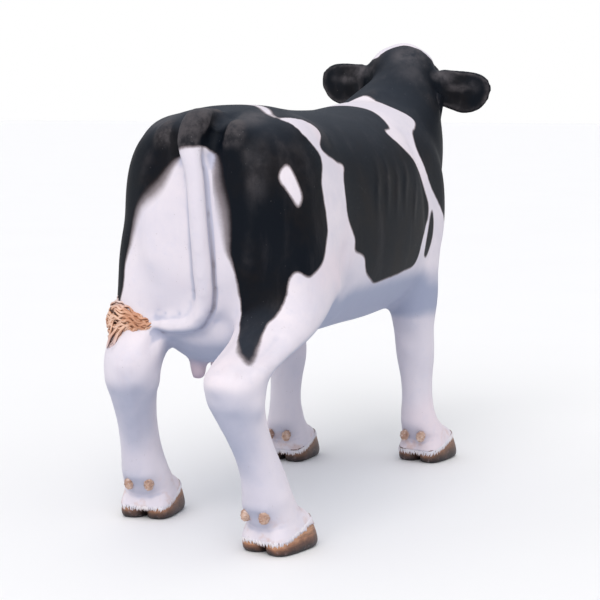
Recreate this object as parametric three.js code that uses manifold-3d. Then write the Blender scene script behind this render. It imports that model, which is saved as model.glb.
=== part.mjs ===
// A Holstein cow statue, cast in resin, standing with its feet staggered and its head raised.
// Millimetres. +X runs to the nose, +Y to the cow's left, +Z up. The soles stand on Z = 0.
// The body is modelled whole and then parted by thin cuts into the parts a person names.

import * as THREE from 'three';
import { mergeVertices } from 'three/addons/utils/BufferGeometryUtils.js';
import Module from 'manifold-3d';

const wasm = await Module();
wasm.setup();

// ---------------------------------------------------------------- driving dimensions

const CUT = 0.3;                 // gap left where two parts meet
const RUMP_HEIGHT = 826;         // top of the rump
const BACK_HEIGHT = 813;         // middle of the back
const WITHERS_HEIGHT = 836;
const BELLY_HEIGHT = 351;        // lowest line of the belly
const RUMP_HALF = 210;           // half-width across the thighs
const BARREL_HALF = 204;
const SHOULDER_HALF = 180;
const HOCK_HEIGHT = 300;
const KNEE_HEIGHT = 250;
const FETLOCK_HEIGHT = 108;
const CORONET_HEIGHT = 44;       // top of the hoof under the middle of the foot
const CORONET_RISE = 17;         // degrees that the coronet rises towards the toe

// Where the middle of each foot stands, and how far it toes out in degrees.
// X is measured here from midway between the hind feet; the whole cow is centred at the end.
const FEET = {
  hind_right: { x: -101, y: -170, side: -1, turn: 12 },
  hind_left: { x: 36, y: 180, side: 1, turn: 8 },
  fore_right: { x: 760, y: -146, side: -1, turn: 8 },
  fore_left: { x: 638, y: 150, side: 1, turn: 0 },
};

// The joint of neck and head, the head's turn to the left, its dip below level, and its tilt.
const HEAD = { x: 925, y: -8, z: 906, yaw: 9, dip: 42, roll: 4 };
const EYE_RADIUS = 15;

// ---------------------------------------------------------------- finishes of the paint

const WHITE = { color: 0xe4e1e8, roughness: 0.5, metalness: 0 };
const BLACK = { color: 0x1c1c21, roughness: 0.5, metalness: 0 };
const HORN = { color: 0x7a5138, roughness: 0.45, metalness: 0 };
const TAN = { color: 0xc08a5e, roughness: 0.5, metalness: 0 };
const PINK = { color: 0xb0979c, roughness: 0.5, metalness: 0 };
const EYE = { color: 0x0d0a09, roughness: 0.12, metalness: 0 };

// ---------------------------------------------------------------- shapes

const v = (x, y, z) => new THREE.Vector3(x, y, z);
const X = v(1, 0, 0);
const Y = v(0, 1, 0);
const Z = v(0, 0, 1);
const turned = (degrees) => THREE.MathUtils.degToRad(degrees);

// One egg-shaped section: its middle, its two directions, and its reach along them.
// A squareness of 2 is an ellipse, and more is boxier.
function section(at, side, up, wide, over, under, square = 2) {
  return { at, side, up, wide, over, under, square };
}

// How the end of a loft closes: the share of the section's size left at each step of the dome.
const DOME = [0, 0.55, 0.88];
const FLAT = [0];

// A smooth run of sections through the given ones, closed at each end by a dome or flat.
function runOf(sections, { rows, startDome, endDome }) {
  const middle = new THREE.CatmullRomCurve3(sections.map((s) => s.at));
  const reach = new THREE.CatmullRomCurve3(sections.map((s) => v(s.wide, s.over, s.under)));
  const last = sections.length - 1;
  const between = (t) => {
    const place = Math.min(t * last, last - 1e-6);
    const from = sections[Math.floor(place)];
    const to = sections[Math.floor(place) + 1];
    const part = place - Math.floor(place);
    const size = reach.getPoint(t);
    return {
      at: middle.getPoint(t),
      side: from.side.clone().lerp(to.side, part).normalize(),
      up: from.up.clone().lerp(to.up, part).normalize(),
      wide: size.x,
      over: size.y,
      under: size.z,
      square: from.square + (to.square - from.square) * part,
    };
  };
  const close = (t, outward, length) => (length > 0 ? DOME : FLAT).map((share) => {
    const edge = between(t);
    return {
      ...edge,
      at: edge.at.clone().addScaledVector(outward, length * Math.sqrt(1 - share * share)),
      wide: edge.wide * share,
      over: edge.over * share,
      under: edge.under * share,
    };
  });
  const start = middle.getPoint(0).sub(middle.getPoint(0.02)).normalize();
  const end = middle.getPoint(1).sub(middle.getPoint(0.98)).normalize();
  const body = [];
  for (let i = 0; i <= rows; i += 1) {
    body.push(between(i / rows));
  }
  return [...close(0, start, startDome), ...body, ...close(1, end, endDome).reverse()];
}

// A closed skin over the sections: a sphere's grid, row by row, laid onto them.
function loft(sections, { around, rows, startDome, endDome }) {
  const run = runOf(sections, { rows, startDome, endDome });
  const geometry = new THREE.SphereGeometry(1, around, run.length - 1);
  const place = geometry.attributes.position;
  for (let i = 0; i < place.count; i += 1) {
    const ring = run[Math.floor(i / (around + 1))];
    const turn = ((i % (around + 1)) / around) * Math.PI * 2;
    const cos = Math.cos(turn);
    const sin = Math.sin(turn);
    const r = (Math.abs(cos) ** ring.square + Math.abs(sin) ** ring.square) ** (-1 / ring.square);
    const lift = sin > 0 ? ring.over : ring.under;
    const point = ring.at.clone()
      .addScaledVector(ring.side, ring.wide * cos * r)
      .addScaledVector(ring.up, lift * sin * r);
    place.setXYZ(i, point.x, point.y, point.z);
  }
  return geometry;
}

function ball(radius, stretch, around, rows) {
  return new THREE.SphereGeometry(radius, around, rows).scale(stretch.x, stretch.y, stretch.z);
}

// ---------------------------------------------------------------- solids

function solid(geometry) {
  const plain = geometry.clone();
  plain.deleteAttribute('normal');
  plain.deleteAttribute('uv');
  const merged = mergeVertices(plain, 1e-3);
  const vertProperties = new Float32Array(merged.attributes.position.array);
  const triVerts = new Uint32Array(merged.index.array);
  const body = new wasm.Manifold(new wasm.Mesh({ numProp: 3, vertProperties, triVerts }));
  if (body.volume() > 0) {
    return body;
  }
  for (let i = 0; i < triVerts.length; i += 3) {
    [triVerts[i], triVerts[i + 1]] = [triVerts[i + 1], triVerts[i]];
  }
  return new wasm.Manifold(new wasm.Mesh({ numProp: 3, vertProperties, triVerts }));
}

const union = (bodies) => bodies.reduce((whole, body) => whole.add(body));

// A block between two corners, turned into place, used to take a part off the body.
function block(lo, hi, turn = new THREE.Matrix4()) {
  const size = hi.clone().sub(lo);
  const middle = hi.clone().add(lo).multiplyScalar(0.5);
  const geometry = new THREE.BoxGeometry(size.x, size.y, size.z);
  geometry.translate(middle.x, middle.y, middle.z);
  return solid(geometry.applyMatrix4(turn));
}

// All that lies ahead of a plane through (x, z) whose normal rises by the given angle.
function ahead({ x, z, rise }, gap) {
  const turn = new THREE.Matrix4()
    .makeTranslation(x, 0, z)
    .multiply(new THREE.Matrix4().makeRotationY(turned(-rise)));
  return block(v(-gap, -500, -500), v(900, 500, 500), turn);
}

// ---------------------------------------------------------------- trunk

// [x, height of the widest level, half-width, top, bottom, squareness]
const TRUNK = [
  [-98, 606, 112, 774, 474, 2.5],
  [-86, 600, 150, 792, 430, 2.8],
  [-52, 586, 186, 805, 398, 3.1],
  [0, 572, RUMP_HALF - 4, 816, 376, 3.1],
  [70, 565, RUMP_HALF, RUMP_HEIGHT, 362, 2.8],
  [160, 560, BARREL_HALF, 821, 355, 2.5],
  [260, 556, BARREL_HALF, 815, 352, 2.4],
  [380, 555, BARREL_HALF, BACK_HEIGHT, BELLY_HEIGHT, 2.35],
  [500, 560, BARREL_HALF - 4, 815, 348, 2.35],
  [600, 565, SHOULDER_HALF + 12, 823, 350, 2.4],
  [690, 570, SHOULDER_HALF + 2, WITHERS_HEIGHT - 4, 352, 2.4],
  [760, 576, SHOULDER_HALF, WITHERS_HEIGHT - 10, 366, 2.4],
  [815, 584, SHOULDER_HALF - 20, 786, 398, 2.3],
  [850, 592, SHOULDER_HALF - 62, 736, 446, 2.2],
];

function trunk() {
  const rings = TRUNK.map(([x, z, wide, top, bottom, square]) =>
    section(v(x, 0, z), Y, Z, wide, top - z, z - bottom, square));
  return loft(rings, { around: 20, rows: 13, startDome: 12, endDome: 24 });
}

// ---------------------------------------------------------------- neck

// [x, z, lean of the axis from level, half-width, reach to the crest, reach to the throat]
const NECK = [
  [690, 620, 30, 150, 190, 190],
  [770, 675, 42, 158, 158, 172],
  [832, 745, 52, 144, 134, 134],
  [882, 818, 58, 118, 100, 106],
  [916, 872, 60, 96, 80, 90],
  [936, 915, 60, 78, 50, 70],
];

function neck() {
  const rings = NECK.map(([x, z, lean, wide, crest, throat]) => {
    const up = v(-Math.sin(turned(lean)), 0, Math.cos(turned(lean)));
    return section(v(x, 0, z), Y, up, wide, crest, throat, 2.1);
  });
  return loft(rings, { around: 16, rows: 6, startDome: 10, endDome: 14 });
}

// ---------------------------------------------------------------- head

// Along the head's own axis: [along, half-width, reach to the forehead, reach to the jaw, squareness]
const SKULL = [
  [-36, 64, 54, 58, 2.2],
  [-4, 80, 72, 80, 2.3],
  [40, 82, 74, 98, 2.4],
  [72, 79, 68, 100, 2.4],
  [110, 66, 58, 86, 2.3],
  [152, 54, 49, 66, 2.3],
  [196, 49, 43, 54, 2.4],
  [228, 56, 41, 54, 2.6],
  [256, 54, 36, 46, 2.7],
];
const EYE_PLACE = { along: 64, out: 71, rise: 24 };
const BROW = { along: 56, out: 66, rise: 38, radius: 22 };

const headPlace = new THREE.Matrix4()
  .makeTranslation(HEAD.x, HEAD.y, HEAD.z)
  .multiply(new THREE.Matrix4().makeRotationZ(turned(HEAD.yaw)))
  .multiply(new THREE.Matrix4().makeRotationY(turned(HEAD.dip)))
  .multiply(new THREE.Matrix4().makeRotationX(turned(HEAD.roll)));

function skull() {
  const rings = SKULL.map(([x, wide, over, under, square]) =>
    section(v(x, 0, 0), Y, Z, wide, over, under, square));
  return loft(rings, { around: 16, rows: 11, startDome: 14, endDome: 16 }).applyMatrix4(headPlace);
}

function brow(side) {
  const ridge = ball(BROW.radius, v(1.7, 0.8, 0.8), 8, 5);
  ridge.translate(BROW.along, side * BROW.out, BROW.rise);
  return ridge.applyMatrix4(headPlace);
}

function eye(side, grow = 0) {
  const globe = ball(EYE_RADIUS + grow, v(1, 1, 1), 10, 7);
  globe.translate(EYE_PLACE.along, side * EYE_PLACE.out, EYE_PLACE.rise);
  return globe.applyMatrix4(headPlace);
}

// ---------------------------------------------------------------- ears

// A broad leaf held out level, its hollow turned forward:
// [out from the middle of the head, rise, forward, half-breadth, half-thickness]
const EAR = [
  [58, 4, -8, 30, 16],
  [88, 0, 2, 40, 14],
  [118, -6, 16, 46, 12],
  [150, -10, 29, 50, 11],
  [180, -8, 40, 44, 10],
  [204, -4, 46, 28, 8],
];
const EAR_ROOT = 88;             // the ear is parted from the head this far out

const earPlace = new THREE.Matrix4()
  .makeTranslation(HEAD.x + 6, HEAD.y, HEAD.z - 32)
  .multiply(new THREE.Matrix4().makeRotationZ(turned(HEAD.yaw)))
  .multiply(new THREE.Matrix4().makeRotationX(turned(HEAD.roll)));

function ear(side, grow = 0) {
  const rings = EAR.map(([out, rise, forward, breadth, thick]) => {
    const middle = v(forward, side * out, rise);
    return section(middle, Z, v(-1, 0, 0), breadth + grow, thick + grow, thick * 0.7 + grow, 2);
  });
  const shape = loft(rings, { around: 12, rows: 6, startDome: 6 + grow, endDome: 10 + grow });
  return shape.applyMatrix4(earPlace);
}

function earRegion(side, gap) {
  const near = EAR_ROOT - gap;
  const [least, most] = side > 0 ? [near, 320] : [-320, -near];
  return solid(ear(side, gap)).intersect(block(v(-200, least, -200), v(200, most, 200), earPlace));
}

// ---------------------------------------------------------------- legs

// Level sections of a leg. Its top keeps to the body and its lower end to the foot, by a share:
// [z, share of the foot, ahead, out, half-width, front reach, back reach]
const HIND_HIP = { x: 10, y: 132 };
const HIND_LEG = [
  [700, 0, 20, -24, 70, 90, 84],
  [620, 0, 12, -8, 80, 122, 100],
  [540, 0, 8, 2, 84, 136, 108],
  [465, 0, 0, 4, 84, 130, 104],
  [402, 0.45, -30, -2, 74, 98, 84],
  [348, 1, -106, -10, 60, 68, 60],
  [HOCK_HEIGHT, 1, -120, -7, 53, 54, 53],
  [262, 1, -110, -5, 45, 50, 46],
  [210, 1, -84, -1, 39, 44, 43],
  [155, 1, -56, 3, 39, 45, 45],
  [FETLOCK_HEIGHT, 1, -40, 2, 44, 52, 50],
  [76, 1, -26, 0, 49, 58, 52],
  [34, 1, -6, 0, 51, 62, 50],
];

const FORE_HIP = { x: 704, y: 112 };
const FORE_LEG = [
  [620, 0, 16, 0, 56, 96, 84],
  [530, 0, 12, 8, 60, 100, 92],
  [440, 0, 4, 10, 58, 78, 78],
  [370, 0.5, -22, -4, 52, 58, 59],
  [310, 1, -48, -13, 46, 48, 47],
  [KNEE_HEIGHT, 1, -44, -11, 44, 46, 42],
  [200, 1, -44, -8, 38, 39, 38],
  [152, 1, -44, -5, 36, 37, 37],
  [FETLOCK_HEIGHT - 4, 1, -38, -4, 40, 44, 43],
  [76, 1, -26, 0, 48, 56, 50],
  [34, 1, -6, 0, 51, 60, 48],
];

function leg(table, hip, foot) {
  const rings = table.map(([z, share, front, out, wide, fore, back]) => {
    const turn = turned(foot.turn * share * foot.side);
    const forward = v(Math.cos(turn), Math.sin(turn), 0);
    const left = v(-Math.sin(turn), Math.cos(turn), 0);
    const x = THREE.MathUtils.lerp(hip.x, foot.x, share);
    const y = THREE.MathUtils.lerp(hip.y * foot.side, foot.y, share);
    const at = v(x, y, z)
      .addScaledVector(forward, front)
      .addScaledVector(left, out * foot.side);
    return section(at, left, forward, wide, fore, back, 2.1);
  });
  return loft(rings, { around: 12, rows: 14, startDome: 30, endDome: 0 });
}

// The blocks that part each leg from the trunk: behind the flank, or round the elbow.
const HIND_PARTING = { x: 36, z: 560, slope: 36, inner: 66, front: 182 };
const FORE_PARTING = { x: 604, z: 486, lean: 22, inner: 44 };

function hindRegion(side, gap) {
  const slope = new THREE.Matrix4()
    .makeTranslation(HIND_PARTING.x, 0, HIND_PARTING.z)
    .multiply(new THREE.Matrix4().makeRotationY(turned(HIND_PARTING.slope)));
  const below = block(v(-700, -500, -900), v(700, 500, gap), slope);
  const near = HIND_PARTING.inner - gap;
  const front = HIND_PARTING.front + gap;
  const half = side > 0
    ? block(v(-400, near, -10), v(front, 400, 900))
    : block(v(-400, -400, -10), v(front, -near, 900));
  return below.intersect(half);
}

function foreRegion(side, gap) {
  const lean = new THREE.Matrix4()
    .makeTranslation(FORE_PARTING.x, 0, FORE_PARTING.z)
    .multiply(new THREE.Matrix4().makeRotationY(turned(FORE_PARTING.lean)));
  const near = FORE_PARTING.inner - gap;
  return side > 0
    ? block(v(-gap, near, -600), v(500, 400, gap), lean)
    : block(v(-gap, -400, -600), v(500, -near, gap), lean);
}

// ---------------------------------------------------------------- hooves and dewclaws

// One claw, toe ahead: [z, toe, heel, inner side, outer side]
const CLAW = [
  [0, 64, 58, 2, 52],
  [12, 66, 61, 2, 55],
  [40, 56, 60, 2.5, 54],
  [78, 40, 50, 3, 50],
];
const DEWCLAW = { behind: 68, out: 20, z: 71, radius: 14 };

const footPlace = (foot) => new THREE.Matrix4()
  .makeTranslation(foot.x, foot.y, 0)
  .multiply(new THREE.Matrix4().makeRotationZ(turned(foot.turn * foot.side)));

function claw(foot, out) {
  const rings = CLAW.map(([z, toe, heel, inner, outer]) => {
    const middle = v(0, (out * (inner + outer)) / 2, z);
    return section(middle, Y, X, (outer - inner) / 2, toe, heel, 2.5);
  });
  const shape = loft(rings, { around: 12, rows: 2, startDome: 0, endDome: 0 });
  return shape.applyMatrix4(footPlace(foot));
}

function belowCoronet(foot, gap) {
  const turn = footPlace(foot)
    .multiply(new THREE.Matrix4().makeTranslation(0, 0, CORONET_HEIGHT))
    .multiply(new THREE.Matrix4().makeRotationY(turned(-CORONET_RISE)));
  return block(v(-160, -110, -140), v(160, 110, gap), turn);
}

function dewclaw(foot, out, grow = 0) {
  const lump = ball(DEWCLAW.radius + grow, v(0.9, 0.92, 1.05), 8, 5);
  lump.translate(-DEWCLAW.behind, out * DEWCLAW.out, DEWCLAW.z);
  return lump.applyMatrix4(footPlace(foot));
}

// ---------------------------------------------------------------- udder and teats

// [x, height of the widest level, half-width, reach up, reach down]
const UDDER = [
  [-66, 430, 84, 60, 72],
  [-24, 412, 114, 70, 96],
  [50, 408, 116, 70, 94],
  [120, 408, 98, 60, 74],
];
const UDDER_TOP = 386;            // level at which the udder is parted from the trunk
const TEATS = { rear: { x: 0, y: 46 }, front: { x: 78, y: 50 } };
const TEAT_SHAPE = [[338, 18], [320, 16], [302, 12]];   // [z, radius]

function udder(grow = 0) {
  const rings = UDDER.map(([x, z, wide, up, down]) =>
    section(v(x, 0, z), Y, Z, wide + grow, up + grow, down + grow, 2.8));
  return loft(rings, { around: 14, rows: 5, startDome: 16 + grow, endDome: 20 + grow });
}

function udderRegion(gap) {
  return solid(udder(gap)).intersect(block(v(-400, -300, 0), v(400, 300, UDDER_TOP + gap)));
}

function teat({ x, y }, side, grow = 0) {
  const rings = TEAT_SHAPE.map(([z, radius]) =>
    section(v(x, side * y, z), Y, X, radius + grow, radius + grow, radius + grow));
  return loft(rings, { around: 8, rows: 1, startDome: 6 + grow, endDome: 7 });
}

// ---------------------------------------------------------------- tail

// It hangs on the rump and swings round to the left hock: [x, y, z, half-breadth, half-depth]
const TAIL = [
  [-34, 0, 796, 38, 24],
  [-84, 0, 790, 34, 25],
  [-112, 0, 754, 27, 22],
  [-116, 0, 690, 24, 20],
  [-112, -2, 600, 21, 18],
  [-102, -6, 510, 18, 17],
  [-94, -8, 440, 17, 16],
  [-90, 8, 402, 16, 15],
  [-92, 52, 386, 15, 14],
  [-90, 100, 392, 15, 14],
];

function tail(grow = 0) {
  const middles = TAIL.map(([x, y, z]) => v(x, y, z));
  const curve = new THREE.CatmullRomCurve3(middles);
  const rings = TAIL.map(([, , , breadth, depth], i) => {
    const along = curve.getTangent(i / (TAIL.length - 1));
    const across = new THREE.Vector3().crossVectors(along, i === 0 ? Z : v(-1, 0, 0)).normalize();
    const up = new THREE.Vector3().crossVectors(across, along).normalize();
    return section(middles[i], across, up, breadth + grow, depth + grow, depth + grow, 2);
  });
  return loft(rings, { around: 10, rows: 14, startDome: 8, endDome: 6 });
}

// The switch is spread on the left thigh above the hock: [x, y, z, half-height, half-depth]
const SWITCH = [
  [-84, 92, 392, 18, 14],
  [-82, 124, 396, 32, 20],
  [-74, 160, 402, 52, 24],
  [-54, 204, 402, 58, 26],
  [-30, 234, 392, 36, 18],
];

function tailSwitch(grow = 0) {
  const rings = SWITCH.map(([x, y, z, high, deep]) =>
    section(v(x, y, z), Z, v(-0.9, 0.4, 0), high + grow, deep + grow, deep + grow, 2));
  return loft(rings, { around: 12, rows: 6, startDome: 6 + grow, endDome: 10 + grow });
}

// ---------------------------------------------------------------- the whole, parted

const NECK_PARTING = { x: 806, z: 700, rise: 25 };
const HEAD_PARTING = { x: 921, z: 886, rise: 31 };
const SIDES = { left: 1, right: -1 };
const cow = new THREE.Group();

function add(name, body, paint) {
  const mesh = body.getMesh();
  const geometry = new THREE.BufferGeometry();
  geometry.setAttribute('position', new THREE.BufferAttribute(mesh.vertProperties, 3));
  geometry.setIndex(new THREE.BufferAttribute(mesh.triVerts, 1));
  const piece = new THREE.Mesh(geometry, new THREE.MeshStandardMaterial(paint));
  piece.name = name;
  cow.add(piece);
}

let flesh = union([
  solid(trunk()), solid(neck()), solid(skull()), solid(udder()),
  ...[1, -1].flatMap((side) => [solid(brow(side)), solid(ear(side))]),
  solid(leg(HIND_LEG, HIND_HIP, FEET.hind_left)),
  solid(leg(HIND_LEG, HIND_HIP, FEET.hind_right)),
  solid(leg(FORE_LEG, FORE_HIP, FEET.fore_left)),
  solid(leg(FORE_LEG, FORE_HIP, FEET.fore_right)),
]);

// Small parts sit in pockets of the body.
const switchBody = solid(tailSwitch());
add('tail_switch', switchBody, TAN);
add('tail', solid(tail()).subtract(solid(tailSwitch(CUT))), WHITE);
flesh = flesh.subtract(solid(tail(CUT))).subtract(solid(tailSwitch(CUT)));

for (const [sideName, side] of Object.entries(SIDES)) {
  add(`eye_${sideName}`, solid(eye(side)), EYE);
  flesh = flesh.subtract(solid(eye(side, CUT)));
  for (const [end, place] of Object.entries(TEATS)) {
    add(`teat_${end}_${sideName}`, solid(teat(place, side)), PINK);
    flesh = flesh.subtract(solid(teat(place, side, CUT)));
  }
}

for (const [name, foot] of Object.entries(FEET)) {
  for (const [clawName, out] of [['inner', -foot.side], ['outer', foot.side]]) {
    const trimmed = solid(claw(foot, out)).intersect(belowCoronet(foot, 0));
    add(`${name}_claw_${clawName}`, trimmed, HORN);
    add(`${name}_dewclaw_${clawName}`, solid(dewclaw(foot, out)), HORN);
    flesh = flesh.subtract(solid(dewclaw(foot, out, CUT)));
  }
  flesh = flesh.subtract(belowCoronet(foot, CUT));
}

// Each larger part is taken off the body, which keeps the gap to it.
function part(name, region, paint) {
  add(name, flesh.intersect(region(0)), paint);
  flesh = flesh.subtract(region(CUT));
}

for (const [sideName, side] of Object.entries(SIDES)) {
  part(`ear_${sideName}`, (gap) => earRegion(side, gap), BLACK);
}
part('head', (gap) => ahead(HEAD_PARTING, gap), BLACK);
part('neck', (gap) => ahead(NECK_PARTING, gap), BLACK);
part('udder', udderRegion, WHITE);
for (const [sideName, side] of Object.entries(SIDES)) {
  part(`hind_leg_${sideName}`, (gap) => hindRegion(side, gap), WHITE);
  part(`fore_leg_${sideName}`, (gap) => foreRegion(side, gap), WHITE);
}
add('trunk', flesh, BLACK);

// The origin is under the middle of the cow, at the level of its soles.
const bounds = new THREE.Box3().setFromObject(cow);
cow.position.set(-(bounds.min.x + bounds.max.x) / 2, -(bounds.min.y + bounds.max.y) / 2, 0);

export default cow;
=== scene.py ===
import math

import bmesh
import bpy
import numpy as np
from mathutils import Matrix, Vector


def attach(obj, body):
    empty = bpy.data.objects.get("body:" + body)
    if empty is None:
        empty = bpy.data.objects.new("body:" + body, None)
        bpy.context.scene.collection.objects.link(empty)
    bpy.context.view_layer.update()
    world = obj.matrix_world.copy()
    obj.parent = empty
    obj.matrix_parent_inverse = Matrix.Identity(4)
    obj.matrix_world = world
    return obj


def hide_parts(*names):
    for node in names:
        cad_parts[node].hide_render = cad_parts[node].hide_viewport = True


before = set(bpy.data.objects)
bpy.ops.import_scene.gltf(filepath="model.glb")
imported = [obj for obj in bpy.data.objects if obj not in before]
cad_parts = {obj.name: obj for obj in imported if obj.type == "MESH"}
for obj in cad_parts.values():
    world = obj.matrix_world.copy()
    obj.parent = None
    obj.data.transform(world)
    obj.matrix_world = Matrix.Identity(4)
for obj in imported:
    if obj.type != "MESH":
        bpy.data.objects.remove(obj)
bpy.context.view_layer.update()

# The body is worked out in millimetres from midway between the hind feet, as a sculptor would
# measure it, and every finished piece is then put in metres in the shared frame.
MM = 0.001
CENTRE = np.array([436.2, 7.9, 0.0])
# The nodes that the one skin replaces
FLESH = ["trunk", "neck", "head", "ear_left", "ear_right", "udder", "tail",
         "hind_leg_left", "hind_leg_right", "fore_leg_left", "fore_leg_right",
         "teat_rear_left", "teat_rear_right", "teat_front_left", "teat_front_right"]

BODY_GRAIN = 6.8       # spacing of the skin's vertices, in mm; the head's is half of it
AT_ONCE = 4000         # vertices measured against an outline at a time
X = np.array([1.0, 0.0, 0.0])
Y = np.array([0.0, 1.0, 0.0])
Z = np.array([0.0, 0.0, 1.0])


def unit(v):
    return v / np.linalg.norm(v)


def rising(value, start, over):
    """0 up to start, and 1 from start + over on."""
    return np.clip((value - start) / over, 0, 1)


def falling(value, end, over):
    """1 up to end - over, and 0 from end on."""
    return np.clip((end - value) / over, 0, 1)


def mirrored(points, side):
    """Points of the left side, kept there for side 1 or mirrored to the right for side -1."""
    return np.array(points, float) * np.array([1, side, 1])


def turn_about(axis, degrees):
    return np.array(Matrix.Rotation(math.radians(degrees), 3, axis))


class Place:
    """A turned and shifted set of axes, in mm."""

    def __init__(self, at, *turns):
        self.at = np.array(at, float)
        self.turn = np.identity(3)
        for axis, degrees in turns:
            self.turn = self.turn @ turn_about(axis, degrees)

    def out(self, point):
        return self.at + np.asarray(point, float) @ self.turn.T

    def into(self, points):
        return (np.asarray(points, float) - self.at) @ self.turn

    def way(self, direction):
        return self.turn @ np.asarray(direction, float)


# ------------------------------------------------------------------ sections and lofts

# The columns of a section's row of numbers; its squareness is the last.
AT, SIDE, UP, REACH = slice(0, 3), slice(3, 6), slice(6, 9), slice(9, 12)
WIDE, OVER, UNDER = 9, 10, 11


def station(at, side, up, wide, over, under, square=2.0):
    """One egg-shaped section: its middle, two directions, and its reach beside, over and under."""
    return np.concatenate([at, side, up, [wide, over, under, square]])


def smooth_run(rows, count):
    """A smooth run of rows of numbers through the given ones."""
    given = np.array(rows, float)
    last = len(given) - 1
    padded = np.vstack([2 * given[0] - given[1], given, 2 * given[last] - given[last - 1]])
    run = []
    for t in np.linspace(0, last, count + 1):
        i = min(int(t), last - 1)
        f = t - i
        a, b, c, d = padded[i:i + 4]
        run.append(0.5 * (2 * b + (c - a) * f + (2 * a - 5 * b + 4 * c - d) * f * f
                          + (3 * b - a - 3 * c + d) * f ** 3))
    return np.array(run)


def unit_axes(run):
    """The run, with both directions of each section made one long."""
    for axis in (SIDE, UP):
        run[:, axis] /= np.linalg.norm(run[:, axis], axis=1)[:, None]
    return run


def row_at(where, known, rows):
    """The section at each place, found between the rows at the known places."""
    return np.stack([np.interp(where, known, column) for column in rows.T], axis=-1)


def domed(run, start, end, steps=6):
    """The run with its two ends closed by domes of the given lengths."""
    def close(edge, outward, length):
        rows = []
        for k in range(steps):
            share = math.sin(math.pi / 2 * k / steps)
            row = edge.copy()
            row[AT] += outward * length * math.sqrt(1 - share * share)
            row[REACH] *= share
            rows.append(row)
        return rows
    first = close(run[0], unit(run[0][AT] - run[1][AT]), start)
    final = close(run[-1], unit(run[-1][AT] - run[-2][AT]), end)
    return np.array(first + list(run) + final[::-1])


def laid(verts, rule, place=None):
    """Moves each vertex of a unit sphere to where the rule puts it."""
    sphere = np.array([vert.co[:] for vert in verts])
    points = rule(sphere)
    points = place.out(points) if place else points
    for vert, point in zip(verts, points):
        vert.co = point
    return verts


def loft(bm, rows, around, count, start, end, place=None):
    """A closed skin over the run of sections: a sphere whose rings are laid onto them."""
    run = unit_axes(domed(smooth_run(rows, count), start, end))

    def onto_sections(sphere):
        height = np.arccos(np.clip(sphere[:, 2], -1, 1)) / math.pi * (len(run) - 1)
        row = run[np.rint(height).astype(int)]
        angle = np.arctan2(sphere[:, 1], sphere[:, 0])
        cos, sin = np.cos(angle), np.sin(angle)
        wide, over, under, square = row[:, WIDE:].T
        reach = (np.abs(cos) ** square + np.abs(sin) ** square) ** (-1 / square)
        lift = np.where(sin > 0, over, under)
        return (row[:, AT] + row[:, SIDE] * (wide * cos * reach)[:, None]
                + row[:, UP] * (lift * sin * reach)[:, None])
    made = bmesh.ops.create_uvsphere(bm, u_segments=around, v_segments=len(run) - 1, radius=1.0)
    return laid(made["verts"], onto_sections, place)


def lump(bm, at, reach, place=None):
    """An egg-shaped lump with the given half-sizes."""
    made = bmesh.ops.create_uvsphere(bm, u_segments=20, v_segments=14, radius=1.0)
    return laid(made["verts"], lambda ball: np.array(at) + ball * np.array(reach), place)


# ------------------------------------------------------------------ the body's own sizes

FEET = {
    "hind_right": dict(x=-101, y=-170, side=-1, turn=12),
    "hind_left": dict(x=36, y=180, side=1, turn=8),
    "fore_right": dict(x=760, y=-146, side=-1, turn=8),
    "fore_left": dict(x=638, y=150, side=1, turn=0),
}
HEAD = Place((925, -8, 906), ("Z", 9), ("Y", 42), ("X", 4))
EARS = Place((931, -8, 874), ("Z", 9), ("X", 4))

# [x, height of the widest level, half-width, top, bottom, squareness]
TRUNK = [
    [-98, 606, 112, 774, 474, 2.5], [-86, 600, 150, 792, 430, 2.8],
    [-52, 586, 186, 805, 398, 3.1], [0, 572, 206, 816, 376, 3.1],
    [70, 565, 210, 826, 362, 2.8], [160, 560, 204, 821, 355, 2.5],
    [260, 556, 204, 815, 352, 2.4], [380, 555, 204, 813, 351, 2.35],
    [500, 560, 200, 815, 348, 2.35], [600, 565, 192, 823, 350, 2.4],
    [690, 570, 182, 832, 352, 2.4], [760, 576, 180, 826, 366, 2.4],
    [815, 584, 160, 786, 398, 2.3], [850, 592, 118, 736, 446, 2.2],
]

# [x, y, z, lean of the axis from level, half-width, reach to the crest, reach to the throat]
NECK = [
    [690, 0, 620, 30, 150, 190, 190], [770, 0, 675, 42, 158, 158, 172],
    [832, -2, 745, 52, 144, 134, 134], [882, -14, 818, 58, 106, 100, 106],
    [916, -28, 872, 60, 68, 80, 90], [936, -22, 915, 60, 56, 50, 70],
]
NECK_SQUARE = 2.1

# Along the head's axis: [along, half-width, reach to the forehead, reach to the jaw, squareness]
SKULL = [
    [-36, 64, 54, 58, 2.2], [-4, 80, 72, 80, 2.3], [40, 82, 74, 98, 2.4],
    [72, 79, 68, 100, 2.4], [110, 66, 58, 86, 2.3], [152, 54, 49, 66, 2.3],
    [196, 49, 43, 54, 2.4], [228, 56, 41, 54, 2.6], [256, 54, 36, 46, 2.7],
]
EYE = dict(along=64, out=71, rise=24, radius=15)
BROW = dict(at=(56, 66, 38), reach=(37, 18, 18))

# The mouth's line, and the nostril's hollows with their width: along the head, out, rise
MOUTH = [(280, 0, -18), (272, 26, -22), (252, 48, -26), (222, 54, -26), (200, 52, -20)]
NOSTRIL = [(274, 28, 8, 15), (270, 35, 13, 13), (262, 42, 14, 10)]

# [out from the middle of the head, rise, forward, half-breadth, half-thickness]
EAR = [
    [58, 2, -18, 34, 27], [88, 0, -4, 41, 19], [118, -6, 16, 46, 12],
    [150, -10, 29, 50, 11], [180, -8, 40, 44, 10], [204, -4, 46, 28, 8],
]

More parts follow.
